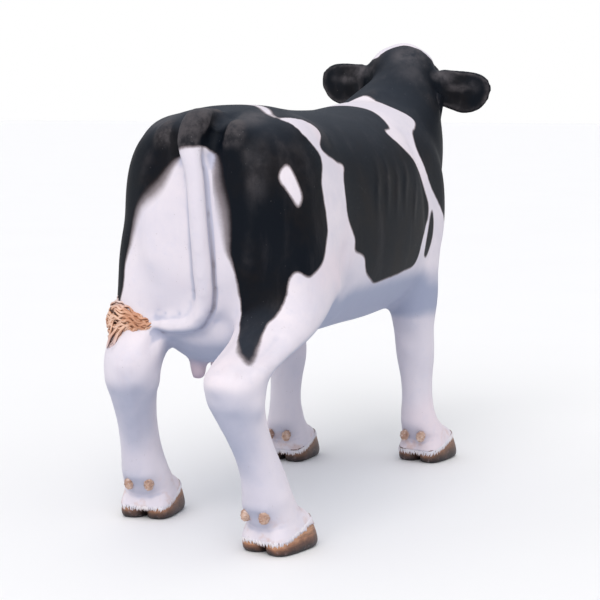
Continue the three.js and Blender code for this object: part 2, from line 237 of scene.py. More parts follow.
# Where a leg starts inside the body, and its sections: [z, share of the foot's place and turn,
# ahead, out, half-width, front reach, back reach]
HIND_HIP = (10, 132)
HIND_LEG = [
    [700, 0, 20, -24, 70, 90, 84], [620, 0, 12, -8, 80, 122, 100],
    [540, 0, 8, 2, 84, 136, 108], [465, 0, 0, 4, 84, 130, 104],
    [402, 0.45, -30, -2, 74, 98, 84], [348, 1, -106, -10, 60, 68, 60],
    [300, 1, -120, -7, 53, 54, 53], [262, 1, -110, -5, 45, 50, 46],
    [210, 1, -84, -1, 39, 44, 43], [155, 1, -56, 3, 39, 45, 45],
    [108, 1, -40, 2, 44, 52, 50], [76, 1, -26, 0, 49, 58, 52],
    [34, 1, -6, 0, 51, 62, 50], [6, 1, 0, 0, 53, 64, 54],
]
FORE_HIP = (704, 112)
FORE_LEG = [
    [620, 0, 16, 0, 56, 96, 84], [530, 0, 12, 8, 60, 100, 92],
    [440, 0, 4, 10, 58, 78, 78], [370, 0.5, -22, -4, 52, 58, 59],
    [310, 1, -48, -13, 46, 48, 47], [250, 1, -44, -11, 44, 46, 42],
    [200, 1, -44, -8, 38, 39, 38], [152, 1, -44, -5, 36, 37, 37],
    [104, 1, -38, -4, 40, 44, 43], [76, 1, -26, 0, 48, 56, 50],
    [34, 1, -6, 0, 51, 60, 48], [6, 1, 0, 0, 53, 62, 52],
]
CORONET = 44           # height of the hoof's top over the middle of the foot
CORONET_SLOPE = math.tan(math.radians(17))      # and how it rises towards the toe
LEG_SQUARE = 2.1
# How far the leg's edge hangs down, from what height it is drawn down, and how far it clears the horn
RIM = dict(hang=14, over=18, spare=1.8)
# One claw, toe ahead: [z, toe, heel, inner side, outer side]
CLAW = [
    [0, 60, 52, 3, 48], [3, 64, 57.5, 1.4, 53], [12, 65.5, 60.5, 0.6, 55], [26, 62, 61, 0.4, 54],
    [40, 56, 59.5, 0.4, 52], [58, 48, 55, 0.4, 49], [84, 38, 48, 0.4, 46],
]
CLAW_SQUARE = 3

# [x, height of the widest level, half-width, reach up, reach down]
UDDER = [
    [-66, 430, 84, 60, 66], [-24, 412, 114, 70, 82],
    [50, 408, 116, 70, 84], [120, 408, 98, 60, 72],
]
UDDER_SQUARE = 2.8
# Where the left teats hang, and their sections as [z, radius]
TEATS = [(0, 54), (78, 52)]
TEAT_SHAPE = [[352, 25], [338, 19], [318, 17], [296, 14]]

# [x, y, z, half-breadth, half-depth]
TAIL = [
    [-34, 0, 796, 38, 24], [-84, 4, 791, 32, 25], [-113, 6, 754, 25, 23],
    [-118, -8, 690, 21, 20], [-115, -13, 600, 21, 19], [-105, -15, 510, 20, 18],
    [-96, -13, 456, 19, 17], [-90, 8, 418, 19, 17], [-87, 48, 405, 16, 15],
    [-82, 84, 403, 13.5, 13], [-78, 112, 402, 11, 11],
]
TAIL_LINE = [row[:3] for row in TAIL]
TAIL_LENGTH = 620
# The swelling of the thigh that the tail's end lies on
TAIL_REST = dict(at=(-58, 76, 412), reach=(24, 74, 40))
# [x, y, z, half-height, half-depth]
SWITCH = [
    [-78, 104, 402, 5, 7], [-82, 130, 405, 14, 13], [-80, 158, 409, 27, 19],
    [-70, 186, 406, 37, 22], [-48, 212, 402, 36, 21], [-24, 234, 396, 20, 14],
]


def foot_place(name):
    foot = FEET[name]
    return Place((foot["x"], foot["y"], 0), ("Z", foot["turn"] * foot["side"]))


def leg_rows(name):
    """A leg's sections, from inside the body down to the foot."""
    foot, hind = FEET[name], name.startswith("hind")
    hip = HIND_HIP if hind else FORE_HIP
    rows = []
    for z, share, front, out, wide, fore, back in HIND_LEG if hind else FORE_LEG:
        turn = turn_about("Z", foot["turn"] * share * foot["side"])
        forward, left = turn @ X, turn @ Y
        at = np.array([hip[0] + (foot["x"] - hip[0]) * share,
                       hip[1] * foot["side"] * (1 - share) + foot["y"] * share, z])
        at = at + forward * front + left * out * foot["side"]
        rows.append(station(at, left, forward, wide, fore, back, LEG_SQUARE))
    return rows


def tail_rows():
    middles = np.array(TAIL_LINE, float)
    rows = []
    for i, (*_, breadth, depth) in enumerate(TAIL):
        along = unit(middles[min(i + 1, len(TAIL) - 1)] - middles[max(i - 1, 0)])
        across = unit(np.cross(along, Z if i == 0 else -X))
        rows.append(station(middles[i], across, unit(np.cross(across, along)),
                            breadth, depth, depth))
    return rows


def ear_rows(side):
    return [station([forward, side * out, rise], Z, -X, breadth, thick, thick * 0.7)
            for out, rise, forward, breadth, thick in EAR]


def cut_along_coronet(bm, verts, place, above):
    """Cuts off what lies over or under the sloping plane of the hoof's top, and closes the cut."""
    normal = place.way((-CORONET_SLOPE, 0, 1)) * (1 if above else -1)
    parts = list({part for v in verts for part in (v, *v.link_edges, *v.link_faces)})
    made = bmesh.ops.bisect_plane(bm, geom=parts, plane_co=place.out((0, 0, CORONET + above)),
                                  plane_no=normal, clear_outer=True)
    rim = [part for part in made["geom_cut"] if isinstance(part, bmesh.types.BMEdge)]
    bmesh.ops.holes_fill(bm, edges=rim)


def raw_body():
    """Every mass of the flesh as a smooth closed form, running into its neighbours."""
    bm = bmesh.new()
    loft(bm, [station([x, 0, z], Y, Z, w, top - z, z - bottom, sq)
              for x, z, w, top, bottom, sq in TRUNK], around=96, count=90, start=12, end=24)
    loft(bm, [station([x, y, z], Y,
                      [-math.sin(math.radians(lean)), 0, math.cos(math.radians(lean))],
                      wide, crest, throat, NECK_SQUARE)
              for x, y, z, lean, wide, crest, throat in NECK], around=80, count=40, start=10, end=14)
    loft(bm, [station([x, 0, 0], Y, Z, w, over, under, sq)
              for x, w, over, under, sq in SKULL], around=72, count=60, start=14, end=20, place=HEAD)
    loft(bm, [station([x, 0, z], Y, Z, w, up, down, UDDER_SQUARE)
              for x, z, w, up, down in UDDER], around=56, count=24, start=16, end=20)
    for side in (1, -1):
        loft(bm, ear_rows(side), around=48, count=36, start=6, end=10, place=EARS)
        lump(bm, mirrored(BROW["at"], side), BROW["reach"], HEAD)
        for x, y in TEATS:
            loft(bm, [station([x, side * y, z], Y, X, r, r, r) for z, r in TEAT_SHAPE],
                 around=20, count=12, start=6, end=7)
    for name in FEET:
        leg = loft(bm, leg_rows(name), around=56, count=80, start=30, end=6)
        cut_along_coronet(bm, leg, foot_place(name), 0)
    loft(bm, tail_rows(), around=32, count=90, start=8, end=6)
    lump(bm, TAIL_REST["at"], TAIL_REST["reach"])
    return bm


def new_piece(name, bm):
    """The bmesh, in mm from midway between the hind feet, as an object in the shared frame."""
    for vert in bm.verts:
        vert.co = (vert.co - Vector(CENTRE)) * MM
    mesh = bpy.data.meshes.new(name)
    bm.to_mesh(mesh)
    bm.free()
    piece = bpy.data.objects.new(name, mesh)
    bpy.context.scene.collection.objects.link(piece)
    return piece


def applied(piece):
    """The piece with its modifiers applied."""
    bpy.context.view_layer.update()
    depsgraph = bpy.context.evaluated_depsgraph_get()
    mesh = bpy.data.meshes.new_from_object(piece.evaluated_get(depsgraph))
    piece.modifiers.clear()
    old = piece.data
    piece.data = mesh
    mesh.name = piece.name
    bpy.data.meshes.remove(old)
    return piece


def vertices_of(piece):
    """The piece's vertices, in mm from midway between the hind feet."""
    flat = np.empty(len(piece.data.vertices) * 3, np.float32)
    piece.data.vertices.foreach_get("co", flat)
    return flat.reshape(-1, 3).astype(float) / MM + CENTRE


def mark(piece, name, values):
    """Writes a value at each vertex, for the paint to read."""
    layer = piece.data.attributes.new(name, "FLOAT", "POINT")
    layer.data.foreach_set("value", np.asarray(values, np.float32))


def smooth(piece):
    for polygon in piece.data.polygons:
        polygon.use_smooth = True


# ------------------------------------------------------------------ the sculptor's hand

class Clay:
    """The skin's vertices in mm, with the strokes that shape them."""

    def __init__(self, piece):
        self.piece = piece
        self.load()

    def load(self):
        self.at = vertices_of(self.piece)
        pairs = np.empty(len(self.piece.data.edges) * 2, np.int32)
        self.piece.data.edges.foreach_get("vertices", pairs)
        self.pairs = pairs.reshape(-1, 2)
        self.edges_here = np.bincount(pairs, minlength=len(self.at))
        self.renew()

    def save(self):
        flat = ((self.at - CENTRE) * MM).astype(np.float32).ravel()
        self.piece.data.vertices.foreach_set("co", flat)
        self.piece.data.update()

    def renew(self):
        """Works the normals out again."""
        self.save()
        flat = np.empty(len(self.at) * 3, np.float32)
        self.piece.data.vertex_normals.foreach_get("vector", flat)
        self.out = flat.reshape(-1, 3).astype(float)

    def gathered(self, to_first, to_second):
        """The sum at each vertex of what every edge gives to its first and its second end."""
        first, second = self.pairs.T
        count = len(self.at)
        return np.bincount(first, to_first, count) + np.bincount(second, to_second, count)

    def relax(self, weight, rounds):
        """Smooths, by the given share at each vertex."""
        share = np.broadcast_to(np.asarray(weight, float), len(self.at))[:, None] * 0.5
        first, second = self.pairs.T
        for _ in range(rounds):
            total = np.stack([self.gathered(column[second], column[first])
                              for column in self.at.T], axis=1)
            self.at += (total / self.edges_here[:, None] - self.at) * share
        self.renew()

    def blurred(self, values, rounds):
        """Values at the vertices, averaged with their neighbours'."""
        first, second = self.pairs.T
        for _ in range(rounds):
            around = self.gathered(values[second], values[first])
            values = 0.4 * values + 0.6 * around / self.edges_here
        return values

    def hollows(self):
        """How far each vertex lies in a hollow, for the spacing of its neighbours."""
        first, second = self.pairs.T
        step = self.at[second] - self.at[first]
        length = np.linalg.norm(step, axis=1)
        spacing = self.gathered(length, length) / self.edges_here
        rise = np.sum(step * self.out[first], axis=1)
        fall = np.sum(-step * self.out[second], axis=1)
        return self.gathered(rise, fall) / (self.edges_here * spacing ** 2)

    def near(self, centre, reach, place=None):
        """A soft share, 1 at the centre and 0 beyond the reach."""
        offset = (place.into(self.at) if place else self.at) - np.array(centre, float)
        span = np.sum((offset / np.array(reach, float)) ** 2, axis=1)
        return np.clip(1 - span, 0, 1) ** 2

    def press(self, lift, facing):
        """Moves the skin along its normals, and only what looks the way of facing, if given."""
        if facing is not None:
            lift = lift * np.clip(self.out @ unit(np.array(facing, float)) * 2, 0, 1)
        self.at += self.out * lift[:, None]

    def swell(self, centre, reach, height, place=None, facing=None):
        """Raises, or for a negative height sinks, a soft round area."""
        self.press(self.near(centre, reach, place) * height, facing)

    def along(self, points, place=None, within=1e9):
        """Each vertex's distance to a smooth line, and where along it that is, from 0 to 1."""
        line = smooth_run(points, 12 * (len(points) - 1))
        line = place.out(line) if place else line
        gap = np.full(len(self.at), 1e9)
        share = np.zeros(len(self.at))
        close = np.flatnonzero(np.all((self.at > line.min(0) - within)
                                      & (self.at < line.max(0) + within), axis=1))
        at = self.at[close]
        for i, (a, b) in enumerate(zip(line[:-1], line[1:])):
            step = b - a
            t = np.clip((at - a) @ step / (step @ step), 0, 1)
            d = np.linalg.norm(at - a - t[:, None] * step, axis=1)
            closer = d < gap[close]
            gap[close[closer]] = d[closer]
            share[close[closer]] = (i + t[closer]) / (len(line) - 1)
        return gap, share

    def ridge(self, points, width, height, place=None, fade=0.15, facing=None):
        """Raises a rounded ridge, or for a negative height sinks a groove, along a line."""
        gap, share = self.along(points, place, 3 * width)
        ends = np.clip(np.minimum(share, 1 - share) / fade, 0, 1)
        self.press(np.exp(-(gap / width) ** 2) * ends * height, facing)

    def strokes(self, rows, side, place=None):
        """Swells as (middle, reach, height) and ridges as (line, width, height, perhaps fade)."""
        for where, size, height, *fade in rows:
            stroke = self.ridge if isinstance(where, list) else self.swell
            stroke(mirrored(where, side), size, height, place, *fade)

    def inside(self, outline, seed, place=None, turned_away=-0.5):
        """The distance in mm to a closed outline drawn on the skin, positive inside it.
        The side is told from the outline's run over the surface, and seed lies inside. Skin whose
        normal meets the nearest outline's at a cosine under turned_away counts as outside."""
        ring = np.array(outline, float)
        ring = place.out(ring) if place else ring
        seed = place.out(seed) if place else np.array(seed, float)
        looped = np.vstack([ring[-1:], ring, ring[:2]])
        line = smooth_run(looped, 10 * (len(looped) - 1))[10:-10]
        span = line[1:] - line[:-1]
        nearest = np.array([np.argmin(np.sum((self.at - point) ** 2, axis=1)) for point in line[:-1]])
        faces = self.out[nearest]
        middle = (line[1:] + line[:-1]) / 2
        inward = np.cross(faces, span)
        inward /= np.linalg.norm(inward, axis=1)[:, None]

        def side_of(points, outs):
            value = np.empty(len(points))
            for start in range(0, len(points), AT_ONCE):
                part = points[start:start + AT_ONCE]
                offset = part[:, None, :] - middle[None]
                index = np.argmin(np.sum(offset ** 2, axis=2), axis=1)
                each = np.arange(len(part))
                away = offset[each, index]
                t = np.clip(np.sum(away * span[index], axis=1)
                            / np.sum(span[index] ** 2, axis=1), -0.5, 0.5)
                away = away - span[index] * t[:, None]
                sign = np.sign(np.sum(away * inward[index], axis=1))
                if outs is not None:
                    facing = np.sum(outs[start:start + AT_ONCE] * faces[index], axis=1)
                    sign = np.where(facing < turned_away, -flip, sign)
                value[start:start + AT_ONCE] = sign * np.linalg.norm(away, axis=1)
            return value
        flip = math.copysign(1.0, side_of(seed[None], None)[0])
        return side_of(self.at, self.out) * flip


def leg_spot(name, z, around):
    """A point on a leg's surface at a height; 0 is its front, 90 its outer side, 180 its back."""
    rows = np.array(leg_rows(name))
    row = row_at(-z, -rows[:, 2], rows)
    angle = math.radians(around)
    ahead = math.cos(angle) * (row[OVER] if math.cos(angle) > 0 else row[UNDER])
    return row[AT] + row[UP] * ahead + row[SIDE] * FEET[name]["side"] * math.sin(angle) * row[WIDE]


# ------------------------------------------------------------------ the cast and its modelling

# Strokes that both sides have, given for the left: a swell is (middle, reach, height), a ridge is
# (line, width, height, perhaps how far its ends fade), and below zero they sink.
TRUNK_STROKES = [
    ((-86, 74, 772), (52, 36, 46), 9),                                          # pin
    ([(-16, 40, 818), (-60, 42, 796), (-94, 38, 760), (-106, 32, 700)], 13, -11),
    ([(-88, 78, 772), (-97, 112, 690), (-99, 110, 595), (-92, 98, 482)], 24, 6),
    ((118, 150, 778), (70, 52, 52), 6),                                         # hip
    ((40, 146, 786), (100, 58, 44), 8),
    ((40, 176, 660), (90, 50, 90), -3),
    ([(40, 196, 520), (86, 198, 468), (150, 178, 420), (220, 150, 380)], 22, 6),    # flank fold
    ([(116, 196, 560), (140, 200, 500), (190, 190, 440)], 26, -5),
    ((710, 150, 660), (105, 70, 160), 6),                                       # shoulder
    ([(606, 130, 780), (612, 176, 680), (622, 184, 580), (640, 176, 500)], 20, -4),
    ((650, 160, 452), (50, 40, 46), 7),                                         # elbow
    ((812, 120, 590), (60, 60, 70), 7),
    ([(884, 84, 800), (846, 112, 720), (812, 118, 640)], 16, -4),
]
# [x and height of the top, x and height of the foot]
RIBS = [(353, 721, 312, 640), (410, 728, 366, 636), (462, 716, 420, 630), (518, 706, 476, 640),
        (566, 690, 530, 610)]
# On a leg every point is (height, degrees round it from the front).
HIND_LEG_STROKES = [
    ([(420, 140), (380, 142), (345, 140)], 13, -6), ([(420, 222), (380, 220), (345, 222)], 13, -6),
    ((334, 180), (34, 34, 30), 7), ((286, 90), (30, 26, 34), 4), ((286, 270), (30, 26, 34), 4),
    ([(290, 150), (230, 140), (160, 140)], 8, -3), ([(290, 210), (230, 220), (160, 220)], 8, -3),
    ((300, 0), (34, 34, 34), -3),
]
FORE_LEG_STROKES = [
    ((262, 0), (34, 34, 36), 5), ((268, 180), (24, 24, 24), 5), ((380, 60), (44, 44, 70), 5),
    ([(228, 135), (180, 130), (130, 135)], 8, -3), ([(228, 225), (180, 230), (130, 225)], 8, -3),
    ([(440, 130), (380, 132), (320, 140)], 10, -3),
]
PASTERN_STROKES = [
    ((108, 90), (28, 24, 26), 3), ((108, 270), (28, 24, 26), 3), ([(92, 130), (92, 180), (92, 230)], 9, 3),
]


def model_trunk(clay):
    """Smooths the joins of the masses, and models hips, pins, flanks, ribs, shoulders and crest."""
    tail_gap, _ = clay.along(TAIL_LINE)
    clear_of_tail = rising(tail_gap, 26, 30)
    upper = rising(clay.at[:, 2], 360, 90)
    inside_head = rising(HEAD.into(clay.at)[:, 0], -30, 40)
    clay.relax(clear_of_tail * upper * (1 - inside_head), 26)
    clay.relax(0.5, 3)
    bed = clay.near((-96, 74, 436), (60, 90, 60))
    clay.relax(bed ** 0.5 * rising(tail_gap, 15, 10), 30)
    for side in (1, -1):
        clay.strokes(TRUNK_STROKES, side)
    for x, top, foot_x, foot in RIBS:
        for side in (-1, 1):
            clay.ridge(mirrored([(x, 166, top), ((x + foot_x) / 2 + 8, 182, (top + foot) / 2),
                                 (foot_x, 194, foot), (foot_x - 16, 200, foot - 50)], side),
                       9, 2.6, fade=0.4)
    for side in (1, -1):
        clay.swell((892, side * 66 - 4, 862), (50, 56, 50), -10 - 5 * side)
        clay.relax(clay.near((900, side * 92 - 8, 850), (80, 60, 80)), 14)
    clay.ridge([(740, 0, 842), (800, -2, 838), (850, -4, 868), (892, -6, 930)], 24, 7)
    clay.swell((838, 0, 520), (70, 90, 90), 8)


def model_leg(clay, name):
    """Models the hock or the knee, the tendons and the pastern."""
    strokes = HIND_LEG_STROKES if name.startswith("hind") else FORE_LEG_STROKES
    for where, size, height in strokes + PASTERN_STROKES:
        if isinstance(where, list):
            clay.ridge([leg_spot(name, z, around) for z, around in where], size, height)
        else:
            clay.swell(leg_spot(name, *where), size, height)


def hoof_reach(local, spare=0.0):
    """How far the hoof's wall is from the foot's middle, at each vertex's height and direction."""
    claw = np.array(CLAW)
    toe, heel, inner, outer = (np.interp(local[:, 2], claw[:, 0], claw[:, k]) for k in (1, 2, 3, 4))
    angle = np.arctan2(local[:, 1], local[:, 0])
    ahead = np.where(np.cos(angle) > 0, toe, heel) + spare
    middle, wide = (inner + outer) / 2, (outer - inner) / 2 + spare
    low, high = np.zeros(len(local)), np.full(len(local), 130.0)
    for _ in range(20):
        reach = (low + high) / 2
        beside = np.maximum(reach * np.abs(np.sin(angle)) - middle, 0) / wide
        past = (np.abs(reach * np.cos(angle)) / ahead) ** CLAW_SQUARE + beside ** CLAW_SQUARE > 1
        high = np.where(past, reach, high)
        low = np.where(past, low, reach)
    return low


def above_coronet(local):
    return local[:, 2] - CORONET - local[:, 0] * CORONET_SLOPE


def trim_at_coronets(clay):
    """Flares each leg out to its hoof, with a ragged edge that hangs over the horn."""
    for name in FEET:
        place = foot_place(name)
        local = place.into(clay.at)
        near = (np.hypot(local[:, 0], local[:, 1]) < 140) & (above_coronet(local) < 40)
        local = local[near]
        above = above_coronet(local)
        radius = np.hypot(local[:, 0], local[:, 1])
        # the leg's wall, told from the flat cut across its foot by the normals
        wall = rising(clay.out[near] @ place.way(unit(np.array([-CORONET_SLOPE, 0, 1]))), -0.9, 0.3)
        wall = wall * rising(radius / hoof_reach(local), 0.4, 0.2)
        angle = np.arctan2(local[:, 1], local[:, 0])
        ragged = 1.3 * np.sin(9 * angle + 1) + 1.1 * np.sin(23 * angle) + 0.9 * np.sin(41 * angle)
        local[:, 2] -= (RIM["hang"] + ragged) * wall * np.clip(1 - above / RIM["over"], 0, 1)
        flare = np.clip(1 - (above - 6) / 28, 0, 1)
        flare = flare * flare * (3 - 2 * flare) * wall
        grown = 1 + (hoof_reach(local, RIM["spare"]) / np.maximum(radius, 1) - 1) * flare
        local[:, :2] *= grown[:, None]
        clay.at[near] = place.out(local)
    clay.renew()


def refine(piece, chosen):
    """Halves the spacing of the mesh between the chosen vertices."""
    bm = bmesh.new()
    bm.from_mesh(piece.data)
    edges = [e for e in bm.edges if chosen[e.verts[0].index] and chosen[e.verts[1].index]]
    bmesh.ops.subdivide_edges(bm, edges=edges, cuts=1, use_grid_fill=True)
    bm.to_mesh(piece.data)
    bm.free()


def fine_places(clay):
    """The vertices of the head, ears, tail and coronets."""
    head = HEAD.into(clay.at)
    chosen = (head[:, 0] > -34) & (np.abs(head[:, 1]) < 120) & (np.abs(head[:, 2]) < 130)
    ears = EARS.into(clay.at)
    chosen |= (np.abs(ears[:, 1]) > 60) & (np.abs(ears[:, 0]) < 90) & (np.abs(ears[:, 2]) < 80)
    gap, share = clay.along(TAIL_LINE, None, 60)
    chosen |= (gap < 42) & (share > 0.06)
    for name in FEET:
        local = foot_place(name).into(clay.at)
        chosen |= (np.hypot(local[:, 0], local[:, 1]) < 130) & (above_coronet(local) < 46)
    return chosen


def lay_ears(clay):
    """Lays the ears' skin back onto their own smooth sections."""
    local = EARS.into(clay.at)
    for side in (1, -1):
        rows = smooth_run(ear_rows(side), 60)
        out = local[:, 1] * side
        row = row_at(out, rows[:, 1] * side, rows)
        ahead, rise = local[:, 0] - row[:, 0], local[:, 2] - row[:, 2]
        thick = np.where(ahead < 0, row[:, OVER], row[:, UNDER])
        size = np.hypot(rise / row[:, WIDE], ahead / thick)
        weight = rising(out, 86, 16) * falling(out, 204, 10)
        weight = np.where((np.abs(ahead) < 45) & (np.abs(rise) < 80), weight, 0)
        grown = 1 + (1 / np.maximum(size, 0.2) - 1) * weight
        local[:, 0] += ahead * (grown - 1)
        local[:, 2] += rise * (grown - 1)
    clay.at = EARS.out(local)
    clay.renew()


def tail_crease(side, last=58):
    """The line where the tail's side meets the rump, up to the last of the tail's 60 steps."""
    rows = unit_axes(smooth_run(tail_rows(), 60))[13:last]
    line = rows[:, AT] + rows[:, SIDE] * side * (rows[:, WIDE, None] + 1.5)
    return line[::3]


def model_tail(clay):
    """Models a crease along each side of the tail, and the deep folds beside its root."""
    for side, depth, width, last in ((-1, -6.5, 5, 56), (1, -2.4, 8, 40)):
        for _ in range(2):
            clay.ridge(tail_crease(side, last), width, depth / 2, fade=0.06)
            clay.renew()
    clay.ridge([(-36, -20, 816), (-68, -30, 802), (-92, -36, 776), (-103, -27, 744)], 13, -17, fade=0.3)
    clay.ridge([(-60, 40, 806), (-90, 44, 780), (-102, 36, 744)], 10, -7, fade=0.3)
    clay.ridge([(-60, 4, 812), (-100, 6, 800), (-130, 8, 762), (-134, 4, 740)], 18, 4, fade=0.3)
    gap, _ = clay.along(TAIL_LINE, None, 60)
    clay.relax(clay.near((-90, 74, 436), (60, 84, 46)) ** 0.5 * rising(gap, 14, 8), 24)
    for line in ([(-106, 30, 566), (-103, 62, 565), (-98, 92, 568)],
                 [(-98, -58, 562), (-98, -74, 562), (-94, -90, 560)]):
        clay.ridge(line, 3.5, -1.6, fade=0.3)
    clay.renew()


# Strokes of the left of the head, along its axis: lids, cheek bone, jaw and muzzle
FACE_STROKES = [
    ([(42, 74, 22), (49, 78, 35), (64, 79, 41), (79, 75, 34), (88, 68, 22)], 5, 5, 0.1),
    ([(42, 74, 20), (53, 78, 9), (66, 78, 6), (79, 74, 11), (88, 68, 20)], 4.5, 4, 0.1),
    ([(90, 64, 6), (132, 54, 0), (176, 48, -6)], 9, 3),
    ([(96, 60, 34), (140, 44, 34), (190, 36, 34)], 9, -2),
    ((52, 74, -48), (56, 40, 46), 5),
    ([(96, 56, -58), (60, 66, -84), (16, 66, -84)], 10, 3),
    ((256, 40, -2), (34, 26, 26), 5), ((246, 36, 24), (24, 18, 14), 4),
]
NOSTRIL_RIM = [([(262, 42, 26), (274, 34, 22), (280, 24, 14)], 5, 3)]
# Behind the ear: the rib of its back and the groove under it
EAR_BACK = [
    ([(-6, 50, 10), (2, 92, 4), (18, 132, 0), (34, 172, 2)], 16, 5),
    ([(-8, 60, -20), (6, 100, -26), (24, 140, -26)], 12, -4),
]


def model_head(clay):
    """Models the ears, lids, cheeks, jaw, nostrils and mouth, and the poll and the chin."""
    local = HEAD.into(clay.at)
    clay.relax(rising(local[:, 0], -60, 40) * 0.8, 8)
    for side in (1, -1):
        clay.relax(clay.near((896, side * 84 - 12, 836), (80, 64, 80)) ** 0.5, 24)
    lay_ears(clay)
    ear_front = EARS.way((1, 0, 0))
    for side in (1, -1):
        clay.strokes(FACE_STROKES, side, HEAD)
        for *middle, wide in NOSTRIL:
            clay.swell(mirrored(middle, side), (wide, wide, wide), -9, HEAD)
            clay.renew()
        clay.strokes(NOSTRIL_RIM, side, HEAD)
        clay.ridge(mirrored(MOUTH, side), 4.5, -5, HEAD, 0.1)
        clay.swell((20, side * 76, 26), (34, 30, 30), -3, HEAD)
        clay.swell((34, side * 146, -8), (60, 62, 36), -9, EARS, ear_front)
        clay.ridge([(12, side * 92, 4), (30, side * 140, -4), (44, side * 184, -6)], 7, -2,
                   EARS, 0.2, -ear_front)
        clay.swell((20, side * 92, -30), (30, 26, 26), -4, EARS, HEAD.way((0, side, 0)))
        for line, width, height in EAR_BACK:
            clay.ridge(mirrored(line, side), width, height, EARS, 0.25, -ear_front)
    clay.swell((30, 0, 74), (50, 44, 30), -3, HEAD)
    clay.swell((-20, 0, 66), (36, 50, 36), 6, HEAD)
    clay.swell((240, 0, -46), (34, 36, 22), 5, HEAD)
    clay.ridge([(268, 0, 30), (276, 0, 6), (276, 0, -18)], 7, -2.5, HEAD)


# ------------------------------------------------------------------ painted markings

# Outlines of the painted patches, drawn on the skin in mm from midway between the hind feet.
HIND_PATCH = [
    (84, 30, 823), (59, -37, 822), (-4, -104, 802), (8, -152, 772), (39, -181, 738),
    (43, -190, 715), (21, -200, 671), (29, -207, 597), (14, -214, 564), (-6, -213, 531),
    (-42, -204, 506), (-61, -188, 519), (-76, -179, 505), (-84, -177, 472), (-105, -166, 438),
    (-125, -155, 424), (-164, -160, 397), (-202, -168, 374), (-220, -165, 364),
    (-206, -146, 373), (-183, -126, 385), (-107, -90, 425), (-97, -82, 495), (-102, -76, 527),
    (-105, -67, 553), (-106, -60, 616), (-106, -44, 681), (-104, -36, 738), (-106, 0, 746),
    (-104, 33, 733), (-105, 74, 678), (-94, 122, 633), (-87, 147, 586), (-80, 166, 525),
    (-81, 174, 472), (-66, 196, 432), (-20, 212, 440), (40, 212, 470), (88, 208, 540),
    (132, 203, 590), (146, 200, 650), (124, 188, 712), (98, 160, 768), (92, 100, 808),
]
HIND_SEED = (-70, -160, 600)
RIB_PATCH = [
    (100, 0, 825), (52, -70, 819), (2, -119, 797), (75, -147, 780), (94, -157, 763),
    (64, -180, 739), (127, -183, 716), (170, -183, 705), (143, -192, 675), (140, -203, 611),
    (179, -204, 561), (180, -203, 538), (230, -201, 522), (253, -197, 488), (318, -186, 460),
    (382, -187, 462), (491, -185, 469), (563, -183, 478), (595, -190, 529), (631, -188, 557),
    (647, -185, 594), (625, -185, 640), (604, -175, 684), (560, -166, 721), (520, -143, 750),
    (514, -130, 768), (549, -127, 772), (561, -116, 784), (583, -74, 808), (591, -10, 821),
    (600, 60, 812), (612, 120, 775), (640, 160, 700), (640, 180, 620), (600, 192, 540),
    (540, 196, 490), (450, 200, 500), (390, 202, 545), (330, 202, 600), (270, 202, 556),
    (222, 203, 580), (196, 200, 660), (204, 180, 730), (170, 140, 785), (136, 80, 815),
]
RIB_SEED = (350, -190, 650)
NECK_PATCH = [
    (756, 12, 843), (698, -64, 821), (729, -112, 787), (696, -130, 770), (657, -138, 759),
    (635, -159, 730), (643, -170, 690), (669, -180, 638), (718, -179, 602), (770, -170, 560),
    (812, -140, 520), (846, -76, 500), (856, 0, 496), (846, 76, 506), (812, 140, 536),
    (770, 170, 590), (724, 178, 650), (700, 168, 720), (716, 126, 782), (742, 66, 827),
]
NECK_SEED = (880, -90, 800)
SLIVER = [
    (668, -183, 590), (686, -182, 560), (682, -180, 520), (652, -177, 484), (626, -184, 494),
    (641, -185, 530), (654, -186, 566),
]
SLIVER_SEED = (662, -182, 535)
HIP_SPOT = [
    (-59, -163, 716), (-72, -155, 694), (-64, -169, 665), (-50, -185, 637), (-40, -189, 655),
    (-43, -184, 673), (-53, -171, 708),
]
HIP_SPOT_SEED = (-55, -172, 675)
# The blaze, along the head: (along, out to the left, rise)
BLAZE = [
    (-58, 8, 48), (-62, 34, 28), (-58, 62, 2), (-16, 76, 16), (22, 62, 52), (46, 44, 66), (84, 30, 66),
    (130, 24, 56), (172, 28, 46), (200, 44, 28), (214, 54, 4), (216, 48, -30), (216, 20, -48),
    (214, -20, -48), (212, -48, -30), (210, -54, 4), (196, -42, 28), (170, -26, 46),
    (128, -20, 56), (84, -32, 66), (50, -50, 64), (22, -72, 42), (-16, -70, 32), (-42, -46, 48),
    (-56, -18, 52),
]
BLAZE_SEED = (110, 0, 62)
TAIL_WHITE_FROM = 744      # height at which the painted tail turns white
HIND_BLACK_FROM = 358      # and the lowest black of the hind legs, and of the forequarters
FORE_BLACK_FROM = 470
# Painted highlights, brushed in grey over the black where light falls on the poll, the neck's top, the
# ears, the hips, the rump and the tail's root: (middle, reach, share, axes)
GREY_HIGHLIGHTS = [
    ((905, -36, 928), (56, 56, 62), 1.0, None), ((868, -54, 880), (60, 46, 60), 0.5, None),
    ((0, -100, 24), (50, 56, 20), 0.9, EARS), ((0, 100, 24), (50, 56, 20), 0.9, EARS),
    ((20, -150, 4), (60, 46, 26), 0.6, EARS), ((20, 150, 8), (60, 46, 26), 0.6, EARS),
    ((118, -140, 780), (110, 60, 60), 0.5, None), ((118, 140, 780), (110, 60, 60), 0.5, None),
    ((-20, -84, 800), (80, 40, 40), 0.7, None), ((-40, 110, 800), (70, 50, 40), 0.6, None),
    ((-80, 6, 800), (50, 34, 36), 0.8, None), ((-90, -120, 700), (40, 30, 90), 0.35, None),
]


def greatest(shares):
    """The greatest of several shares at each vertex."""
    return np.maximum.reduce(list(shares))


